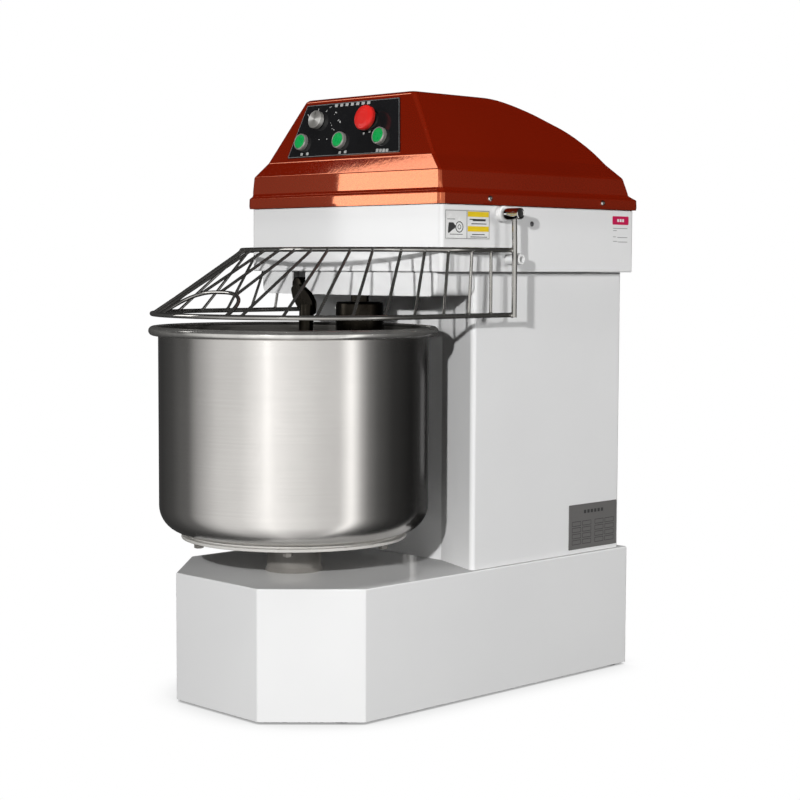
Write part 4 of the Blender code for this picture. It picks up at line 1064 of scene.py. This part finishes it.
class Rail:
    """Level rail: straight legs forward from the arms, joined by a half ellipse."""

    def __init__(self, center_y, depth, z):
        self.center_y, self.z = center_y, z
        angles = [math.pi * i / 720 for i in range(721)]
        self.points = [(RAIL_HALF * math.cos(a), center_y - depth * math.sin(a)) for a in angles]
        self.lengths = [0.0]
        for a, b in zip(self.points, self.points[1:]):
            self.lengths.append(self.lengths[-1] + math.hypot(b[0] - a[0], b[1] - a[1]))
        self.leg = ARM_Y - center_y
        self.total = 2 * self.leg + self.lengths[-1]

    def at(self, s):
        """Point at arc length s from the right arm."""
        if s <= self.leg:
            return Vector((RAIL_HALF, ARM_Y - s, self.z))
        if s >= self.leg + self.lengths[-1]:
            y = self.center_y + (s - self.leg - self.lengths[-1])
            return Vector((-RAIL_HALF, y, self.z))
        d = s - self.leg
        i = bisect_left(self.lengths, d, 1, len(self.lengths) - 1) - 1
        f = (d - self.lengths[i]) / (self.lengths[i + 1] - self.lengths[i])
        a, b = self.points[i], self.points[i + 1]
        return Vector((a[0] + (b[0] - a[0]) * f, a[1] + (b[1] - a[1]) * f, self.z))

    def stations(self):
        steps, arc_length = 8, self.total - 2 * self.leg
        return ([self.leg * i / steps for i in range(steps)]
                + [self.leg + arc_length * i / 140 for i in range(141)]
                + [self.total - self.leg + self.leg * (i + 1) / steps for i in range(steps)])


TOP_RAIL = Rail(center_y=340.0, depth=188.0, z=750.0)
LOW_RAIL = Rail(center_y=188.0, depth=245.0, z=643.0)


def along(table, u):
    k = min(BARS - 2, int(u * (BARS - 1)))
    return table[k] + (table[k + 1] - table[k]) * (u * (BARS - 1) - k)


def guard_surface(u, t):
    """u runs around from the right arm, t from the low rail to the top rail."""
    return LOW_RAIL.at(along(BARS_LOW, u)).lerp(TOP_RAIL.at(along(BARS_TOP, u)), t)


def weld(bm, center, radius, height, n=10):
    """Weld bead: a small ball, its height scaled."""
    angles = [math.radians(-67.5 + 22.5 * i) for i in range(7)]
    profile = [(0, -radius)] + [(radius * math.cos(a), radius * math.sin(a)) for a in angles]
    profile.append((0, radius))
    lathe([(r, h * height) for r, h in profile], n, upright(*center), bm=bm)


def guard_mesh():
    bm = bmesh.new()
    for rail in (LOW_RAIL, TOP_RAIL):
        tube([rail.at(s) for s in rail.stations()], RAIL_WIRE, 20, bm=bm)
    for side in (-1, 1):
        x = side * ARM_X
        tube([(x, ARM_Y, LOW_RAIL.z - 4), (x, ARM_Y, 700), (x, ARM_Y, 760),
              (x, ARM_Y - 1.2, PIVOT_Z - 9.0)], RAIL_WIRE + 0.3, 20, bm=bm)
    loop = []
    for i in range(61):
        c, s = math.cos(math.pi * i / 60), math.sin(math.pi * i / 60)
        across = math.copysign(abs(c) ** LOOP_POWER, c)
        loop.append(guard_surface(0.5 - (0.5 - LOOP_START) * across,
                                  LOOP_RISE * abs(s) ** LOOP_POWER))
    tube(loop, BAR_WIRE + 0.6, 18, bm=bm)
    for k in range(BARS):
        u = k / (BARS - 1)
        start = 0.0
        if LOOP_START < u < 1 - LOOP_START:
            # Bars over the loop start on it.
            c = abs(0.5 - u) / (0.5 - LOOP_START)
            start = LOOP_RISE * (1 - c ** (2 / LOOP_POWER)) ** (LOOP_POWER / 2)
        a, b = guard_surface(u, start), guard_surface(u, 1.0)
        d = (b - a).normalized()
        tube([a + d * 0.5, a.lerp(b, 0.33), a.lerp(b, 0.66), b + d * 1.2], BAR_WIRE, 16, bm=bm)
        weld(bm, b - d * 2.2, radius=3.7, height=0.8)
        weld(bm, a + d * 3.0, radius=3.7, height=0.8)
    for side in (-1, 1):
        for rail in (LOW_RAIL, TOP_RAIL):
            center = Vector((side * ARM_WELD_X, ARM_Y - 1.5, rail.z))
            weld(bm, center, radius=4.6, height=1.1, n=14)
    return bm


piece("look_guard", guard_mesh(), GUARD_CHROME, "guard_assembly", "chrome", "safety_guard",
      smooth=50)

# Heights in these rows are distances from the machine's middle plane.
CHEEK = HEAD_HALF + FIT_GAP
BOSS_ROWS = [(5.9, CHEEK, 0), (5.9, 249.2, 0.5), (12.0, 249.2, 1.4), (13.5, 247.0, 1.4),
             (13.5, CHEEK, 0)]
GUARD_KNOB_ROWS = [(0, 240.0, 0), (5.0, 240.0, 0.3), (5.0, 249.8, 0), (9.4, 249.8, 0.8),
                   (9.4, 283.2, 0.5), (8.2, 284.0, 0.4), (6.4, 283.2, 0.5), (0, 282.8, 0)]
GUARD_STOP_ROWS = [(0, CHEEK, 0), (9.0, CHEEK, 0), (9.0, 270.0, 1.4), (5.0, 270.0, 1.0),
                   (5.0, 252.0, 0.5), (0, 252.0, 0)]
for side, side_name in ((-1, "left"), (1, "right")):
    pivot = sideways(0, PIVOT_Y, PIVOT_Z, side)
    turned_piece("look_guard_boss_" + side_name, BOSS_ROWS, 64, pivot, WHITE_SMALL,
                 "frame", "white_paint", "guard_boss_" + side_name, closed=True)
    turned_piece("look_guard_knob_" + side_name, GUARD_KNOB_ROWS, 72, pivot, CHROME,
                 "guard_assembly", "chrome", "guard_knob_" + side_name)
    turned_piece("look_guard_stop_" + side_name, GUARD_STOP_ROWS, 64,
                 sideways(0, 434.0, 735.0, side), WHITE_SMALL,
                 "frame", "white_paint", "guard_stop_" + side_name)


# ------------------------------- plates and stickers on the machine's right side
def side_plate(name, x, thickness, bounds, corner, material, slot, *nodes, edge=0.15):
    """Thin plate standing out from x; bounds are (y0, y1, z0, z1)."""
    y0, y1, z0, z1 = bounds
    rings = [at_x(rounded(rect(y0 + e, y1 - e, z0 + e, z1 - e), max(0.3, corner - e), 5), x + h)
             for h, e in ((0.0, 0.0), (thickness - edge, 0.0), (thickness, edge))]
    piece(name, skin(rings), material, "frame", slot, *nodes, smooth=30)


def ink_boxes(boxes, x, thickness, bm=None):
    """Raised print from (y0, y1, z0, z1) rows."""
    bm = bm or bmesh.new()
    for bounds in boxes:
        box(x, x + thickness, *bounds, bm=bm)
    return bm


side_plate("look_rating_plate", COL_HALF + 0.4, 1.0, (620, 751, 222, 302), 1.5, PLATE,
           "aluminium", "rating_plate")
# Blank form printed on the plate: a row of squares and empty boxes.
form = [(660 + 9.4 * i, 666 + 9.4 * i, 285, 291) for i in range(6)]
for row in range(4):
    z = 271 - 11.0 * row
    for y0, y1 in ((628, 652), (656, 680), (690, 714), (718, 743)):
        form += [(y0, y1, z, z + 0.9), (y0, y1, z - 7.6, z - 6.7),
                 (y0, y0 + 0.8, z - 7.6, z), (y1 - 0.8, y1, z - 7.6, z)]
piece("look_plate_form", ink_boxes(form, COL_HALF + 1.41, 0.12), INK_DARK,
      "frame", "aluminium", smooth=0)

# Pale label on the cheek: frame lines, two yellow bars and thin dark bars.
STICKER_X = HEAD_HALF + 0.02
STICKER_T = 0.16
PRINT_X = STICKER_X + 0.165
PRINT_T = 0.06
LABEL_LINES = [(333.2, 334.2, 768, 814), (283.5, 387, 813.2, 814.0), (283.5, 387, 768.0, 768.8),
               (283.5, 284.3, 768, 814), (386.2, 387.0, 768, 814), (340, 372, 799.0, 800.6),
               (347, 378, 797.0, 800.6), (344, 380, 792.0, 793.4), (346, 376, 774.6, 776.0),
               (342, 382, 770.6, 771.8)]
LABEL_YELLOW = [(335.5, 385.5, 804.0, 812.4), (335.5, 385.5, 780.0, 788.6)]
side_plate("look_label", STICKER_X, STICKER_T, (281.5, 389, 766, 816), 1.5, VINYL,
           "white_paint", edge=0.05)
piece("look_label_ink", ink_boxes(LABEL_LINES, PRINT_X, PRINT_T), INK_DARK,
      "frame", "panel_black", smooth=0)
piece("look_label_yellow", ink_boxes(LABEL_YELLOW, PRINT_X, PRINT_T), YELLOW,
      "frame", "stop_red", smooth=0)


def circle_outline(radius):
    return [(316 + radius * math.cos(math.tau * i / 48), 787 + radius * math.sin(math.tau * i / 48))
            for i in range(48)]


# Plain pictogram: two rings, a wedge beside them and two lines.
sign = bmesh.new()
for r_out, r_in in ((9.2, 7.6), (4.0, 2.8)):
    outer, inner = circle_outline(r_out), circle_outline(r_in)
    skin([at_x(outer, PRINT_X), at_x(outer, PRINT_X + PRINT_T),
          at_x(inner, PRINT_X + PRINT_T), at_x(inner, PRINT_X)], looped=True, bm=sign)
wedge = rounded([(289, 775), (300, 782), (309, 787), (302, 794), (291, 794)], 2.0, 4)
skin([at_x(wedge, PRINT_X), at_x(wedge, PRINT_X + PRINT_T)], bm=sign)
ink_boxes([(288, 306, 799, 800), (294, 324, 774.5, 775.5)], PRINT_X, PRINT_T, bm=sign)
piece("look_label_sign", sign, INK_DARK, "frame", "panel_black", smooth=0)

# Magenta tag with three pale dashes, and grey lines below it as (y0, y1, z).
side_plate("look_tag", STICKER_X, STICKER_T, (706, 751, 798, 813), 2.0, MAGENTA,
           "stop_red", edge=0.05)
dashes = [(719 + 7.0 * i, 724 + 7.0 * i, 803, 808) for i in range(3)]
piece("look_tag_dashes", ink_boxes(dashes, PRINT_X, PRINT_T), VINYL,
      "frame", "white_paint", smooth=0)
TAG_LINES = ((708, 748, 791), (708, 718, 787), (708, 716, 776), (720, 748, 775),
             (708, 720, 768), (722, 748, 767))
tag_lines = [(y0, y1, z, z + 1.1) for y0, y1, z in TAG_LINES]
piece("look_tag_lines", ink_boxes(tag_lines, STICKER_X, 0.05), INK_MID,
      "frame", "panel_black", smooth=0)

# ---------------------------------------------- parts kept from the CAD model
# The spindle shaft takes the darkened steel too: painted shade under the neck.
KEPT = {
    "bowl_bearing": STEEL, "head_plate": IRON, "spindle_bearing_housing": IRON,
    "spindle_bearing": STEEL, "layshaft_bearing_upper": IRON, "layshaft_bearing_lower": IRON,
    "motor": IRON, "motor_bracket": IRON, "drive_belt": RUBBER, "spindle_chain": IRON,
    "bowl_chain": IRON, "bowl_sprocket": IRON, "spindle_shaft": DARK_STEEL_AND_SHADE, "layshaft": STEEL,
    "layshaft_pulley": IRON, "motor_pulley": IRON,
}
for name, material in KEPT.items():
    if name in NODES:
        NODES[name].data.materials.clear()
        NODES[name].data.materials.append(material)


# ----------------------------------------------------------------------- floor
def hide_from(ob, *rays):
    for ray in rays:
        setattr(ob, "visible_" + ray, False)


def stage_object(name, mesh, material, hidden):
    ob = link_object(name, mesh)
    mesh.materials.append(material)
    hide_from(ob, *hidden)


def floor_material():
    """White with contact shadow for the camera, dim greys for the other rays."""
    material, graph = bare_material("floor_white")
    output = graph.add("OutputMaterial")
    occlusion = graph.add("AmbientOcclusion", {"Distance": 0.10}, samples=8)
    shadow = graph.ramp(occlusion.outputs["AO"], [(0.0, 0.30), (0.45, 0.80), (0.80, 1.0)])
    for_camera, for_matt, for_gloss = [graph.add("Emission", {"Color": color}).outputs[0]
                                       for color in (shadow, rgba(0.07), rgba(0.40))]
    rays = graph.add("LightPath").outputs
    shader = graph.mix_shader(rays["Is Glossy Ray"], for_matt, for_gloss)
    graph.set(output, {0: graph.mix_shader(rays["Is Camera Ray"], shader, for_camera)})
    return material


# Floor rings are in metres, already in world space.
floor_bm = lathe([(r, 0.0) for r in (0, 0.8, 2.0, 5.0, 16.0)], 64, upright(0, 0))
floor_mesh = bpy.data.meshes.new("floor")
floor_bm.to_mesh(floor_mesh)
floor_bm.free()
stage_object("floor", floor_mesh, floor_material(), hidden=("glossy",))
for ob in (column, rear_cover, neck, head):
    hide_from(ob, "glossy")

# ----------------------------------------------------------------------- world
# Reflected brightness by azimuth in degrees: 0 is the front, 90 the right.
AZIMUTH_BANDS = [
    (-180, 0.035), (-168, 0.058), (-100, 0.043), (-75, 0.08), (-62, 0.14), (-50, 0.16),
    (-46.5, 0.27), (-40, 0.45), (-36, 0.53), (-18, 0.90), (4, 1.01), (19, 1.38), (27, 1.6),
    (36, 1.45), (48, 1.25), (73, 0.96), (88, 0.91), (94, 1.4), (98, 1.85), (102, 1.35),
    (107, 0.72), (114, 0.29), (124, 0.125), (140, 0.048), (167, 0.017), (180, 0.035)]
# Its share left at each elevation in degrees.
ELEVATION_BANDS = [(-90, 0.45), (-60, 0.62), (-42, 0.92), (-24, 1.0), (10, 1.0), (18, 0.20),
                   (24, 0.03), (90, 0.02)]


def smooth_step(graph, value, start, end):
    return graph.add("MapRange", {0: value, 1: start, 2: end},
                     interpolation_type="SMOOTHSTEP").outputs[0]


def window(graph, value, low, high, soft):
    rise = smooth_step(graph, value, low - soft, low + soft)
    fall = smooth_step(graph, value, high - soft, high + soft)
    return graph.math("MULTIPLY", rise, graph.math("SUBTRACT", 1.0, fall))


def studio_light(graph):
    """Brightness of the studio seen in reflections, by azimuth and elevation."""
    direction = graph.add("TexCoord").outputs["Generated"]
    dx, dy, dz = graph.add("SeparateXYZ", {0: direction}).outputs
    to_degrees = 180 / math.pi
    forward = graph.math("MULTIPLY", dy, -1.0)
    azimuth = graph.math("MULTIPLY", graph.math("ARCTAN2", dx, forward), to_degrees)
    elevation = graph.math("MULTIPLY", graph.math("ARCSINE", dz), to_degrees)
    turn = graph.math("DIVIDE", graph.math("ADD", azimuth, 180.0), 360.0)
    # The ramp holds half the brightness, so that it stays below one.
    band = graph.ramp(turn, [((a + 180) / 360.0, v / 2.0) for a, v in AZIMUTH_BANDS])
    band = graph.math("MULTIPLY", band, 2.0)
    tilt = graph.math("DIVIDE", graph.math("ADD", elevation, 90.0), 180.0)
    share = graph.ramp(tilt, [((e + 90) / 180, v) for e, v in ELEVATION_BANDS])
    soft = graph.math("MULTIPLY", band, share)
    # High strip to the front left, cut off above by a sloping line.
    strip = graph.math("MULTIPLY", window(graph, azimuth, low=-61.95, high=-54.0, soft=0.06),
                       smooth_step(graph, elevation, start=27.0, end=28.0))
    cutoff = graph.math("ADD", graph.math("MULTIPLY", azimuth, 1.102), 101.05)
    above = smooth_step(graph, graph.math("SUBTRACT", elevation, cutoff), start=-0.03, end=0.03)
    strip = graph.math("MULTIPLY", strip, graph.math("SUBTRACT", 1.0, above))
    # Small hot spot to the front right.
    spot = graph.math("MULTIPLY", window(graph, azimuth, low=24.0, high=30.0, soft=1.0),
                      window(graph, elevation, low=7.0, high=13.0, soft=1.0))
    bright = graph.math("ADD", graph.math("MULTIPLY", strip, 3.0),
                        graph.math("MULTIPLY", spot, 4.0))
    return graph.math("ADD", soft, bright)


def build_world():
    """White for the camera, dim fill for matt surfaces, the studio for direct gloss."""
    studio = bpy.data.worlds.new("studio")
    bpy.context.scene.world = studio
    studio.use_nodes = True
    graph = Graph(studio.node_tree, clear=True)
    light = studio_light(graph)
    rays = graph.add("LightPath").outputs
    for_camera, for_matt, for_gloss = [
        graph.add("Background", {"Color": rgba(1.0), "Strength": strength}).outputs[0]
        for strength in (1.0, 0.07, light)]
    before_matt = graph.math("LESS_THAN", rays["Diffuse Depth"], 0.5)
    direct = graph.math("MULTIPLY", rays["Is Glossy Ray"], before_matt)
    shader = graph.mix_shader(direct, for_matt, for_gloss)
    shader = graph.mix_shader(rays["Is Camera Ray"], shader, for_camera)
    graph.add("OutputWorld", {0: shader})


build_world()

# -------------------------------------------------------------- flag and card
# Flag just above the base's top: it deepens the shadow under the bowl.
FLAG_X, FLAG_Y, FLAG_R = -108.0, 288.0, 186.0
FLAG_LEFT, FLAG_REAR = -221.0, 366.0
FLAG_HEIGHT = 0.2193  # metres above the floor
flag_points = []
for i in range(96):
    a = 2 * math.pi * i / 96
    x = max(FLAG_X + FLAG_R * math.cos(a), FLAG_LEFT)
    y = min(FLAG_Y + FLAG_R * math.sin(a), FLAG_REAR)
    flag_points.append((x * MM, (y - Y_MID) * MM, FLAG_HEIGHT))
flag_mesh = bpy.data.meshes.new("flag")
flag_mesh.from_pydata(flag_points, [], [tuple(range(96))])
stage_object("flag", flag_mesh, RUBBER, hidden=("camera", "diffuse", "glossy", "transmission"))


def card_material():
    """Glow seen only before a matt bounce, by rays that start above the bowl."""
    material, graph = bare_material("card_glow")
    output = graph.add("OutputMaterial")
    rays = graph.add("LightPath").outputs
    glow = graph.math("MULTIPLY", graph.math("LESS_THAN", rays["Diffuse Depth"], 0.5), 3.8)
    geometry = graph.add("NewGeometry").outputs
    back = graph.add("VectorMath", {0: geometry["Incoming"], "Scale": rays["Ray Length"]},
                     operation="SCALE").outputs[0]
    start = graph.add("VectorMath", {0: geometry["Position"], 1: back},
                      operation="ADD").outputs[0]
    start_z = graph.add("SeparateXYZ", {0: start}).outputs[2]
    above_bowl = graph.math("GREATER_THAN", start_z, 0.635)
    strength = graph.math("MULTIPLY", glow, above_bowl)
    graph.set(output, {0: graph.add("Emission", {"Strength": strength}).outputs[0]})
    return material


# Bright upright card reflected in the front faces, in metres.
CARD_CORNER = Vector((-0.762, -0.752, 0.0))
CARD_WIDTH = Vector((0.69, -0.72, 0.0)) * 0.31
CARD_LOW, CARD_HIGH = Vector((0, 0, 0.66)), Vector((0, 0, 1.06))
card_mesh = bpy.data.meshes.new("card")
card_mesh.from_pydata([tuple(CARD_CORNER + CARD_LOW), tuple(CARD_CORNER + CARD_WIDTH + CARD_LOW),
                       tuple(CARD_CORNER + CARD_WIDTH + CARD_HIGH),
                       tuple(CARD_CORNER + CARD_HIGH)], [], [(0, 1, 2, 3)])
stage_object("card", card_mesh, card_material(),
             hidden=("camera", "diffuse", "shadow", "transmission"))


# ---------------------------------------------------------------------- lights
def softbox(name, az, el, dist, size, level, target=(0, -0.05, 0.5)):
    """Soft box hidden from gloss, at azimuth and elevation (degrees) and distance
    (metres) from target. level is the share of full exposure it gives a facing surface."""
    a, e = math.radians(az), math.radians(el)
    direction = Vector((math.sin(a) * math.cos(e), -math.cos(a) * math.cos(e), math.sin(e)))
    light = bpy.data.lights.new(name, "AREA")
    light.shape = "RECTANGLE"
    light.size, light.size_y = size
    # Power for radiance * solid angle / pi = level, as radiance = power / (pi * area).
    light.energy = level * math.pi * math.pi * dist * dist
    ob = link_object(name, light)
    ob.location = Vector(target) + direction * dist
    ob.rotation_euler = (-direction).to_track_quat("-Z", "Y").to_euler()
    hide_from(ob, "glossy", "camera")


KEY_TARGET = (0.1, -0.05, 0.55)
softbox("key_front", az=29.5, el=12.0, dist=5.0, size=(0.12, 0.12), level=0.75, target=KEY_TARGET)
softbox("key_side", az=67.0, el=12.0, dist=5.0, size=(0.12, 0.12), level=0.12, target=KEY_TARGET)
softbox("fill_front", az=-28.0, el=12.0, dist=4.5, size=(1.4, 0.6), level=0.11)
softbox("fill_right", az=112.0, el=12.0, dist=4.5, size=(1.4, 0.6), level=0.30)
softbox("fill_left", az=-95.0, el=8.0, dist=4.5, size=(1.6, 1.2), level=0.28)
softbox("overhead", az=46.0, el=74.0, dist=4.0, size=(0.7, 0.7), level=0.29)
softbox("fill_rear", az=215.0, el=6.0, dist=4.5, size=(1.4, 0.6), level=0.32)

# --------------------------------------------------------------------- camera
CAMERA_AT = Vector((2.2922, -2.1568, 0.7261))
azimuth, elevation, roll = math.radians(45.91), math.radians(4.21), math.radians(0.22)
back = Vector((math.sin(azimuth) * math.cos(elevation),
               -math.cos(azimuth) * math.cos(elevation), math.sin(elevation)))
right = Vector((math.cos(azimuth), math.sin(azimuth), 0))
up = back.cross(right)
rolled_right = right * math.cos(roll) + up * math.sin(roll)
rolled_up = up * math.cos(roll) - right * math.sin(roll)
pose = Matrix((rolled_right, rolled_up, back)).transposed().to_4x4()
pose.translation = CAMERA_AT
lens = bpy.data.cameras.new("camera")
camera = link_object("camera", lens)
camera.matrix_world = pose
lens.lens = 81.46
lens.sensor_width = 36.0
lens.clip_start, lens.clip_end = 0.05, 200.0
bpy.context.scene.camera = camera
bpy.context.scene.view_settings.view_transform = "Standard"
bpy.context.scene.view_settings.look = "None"
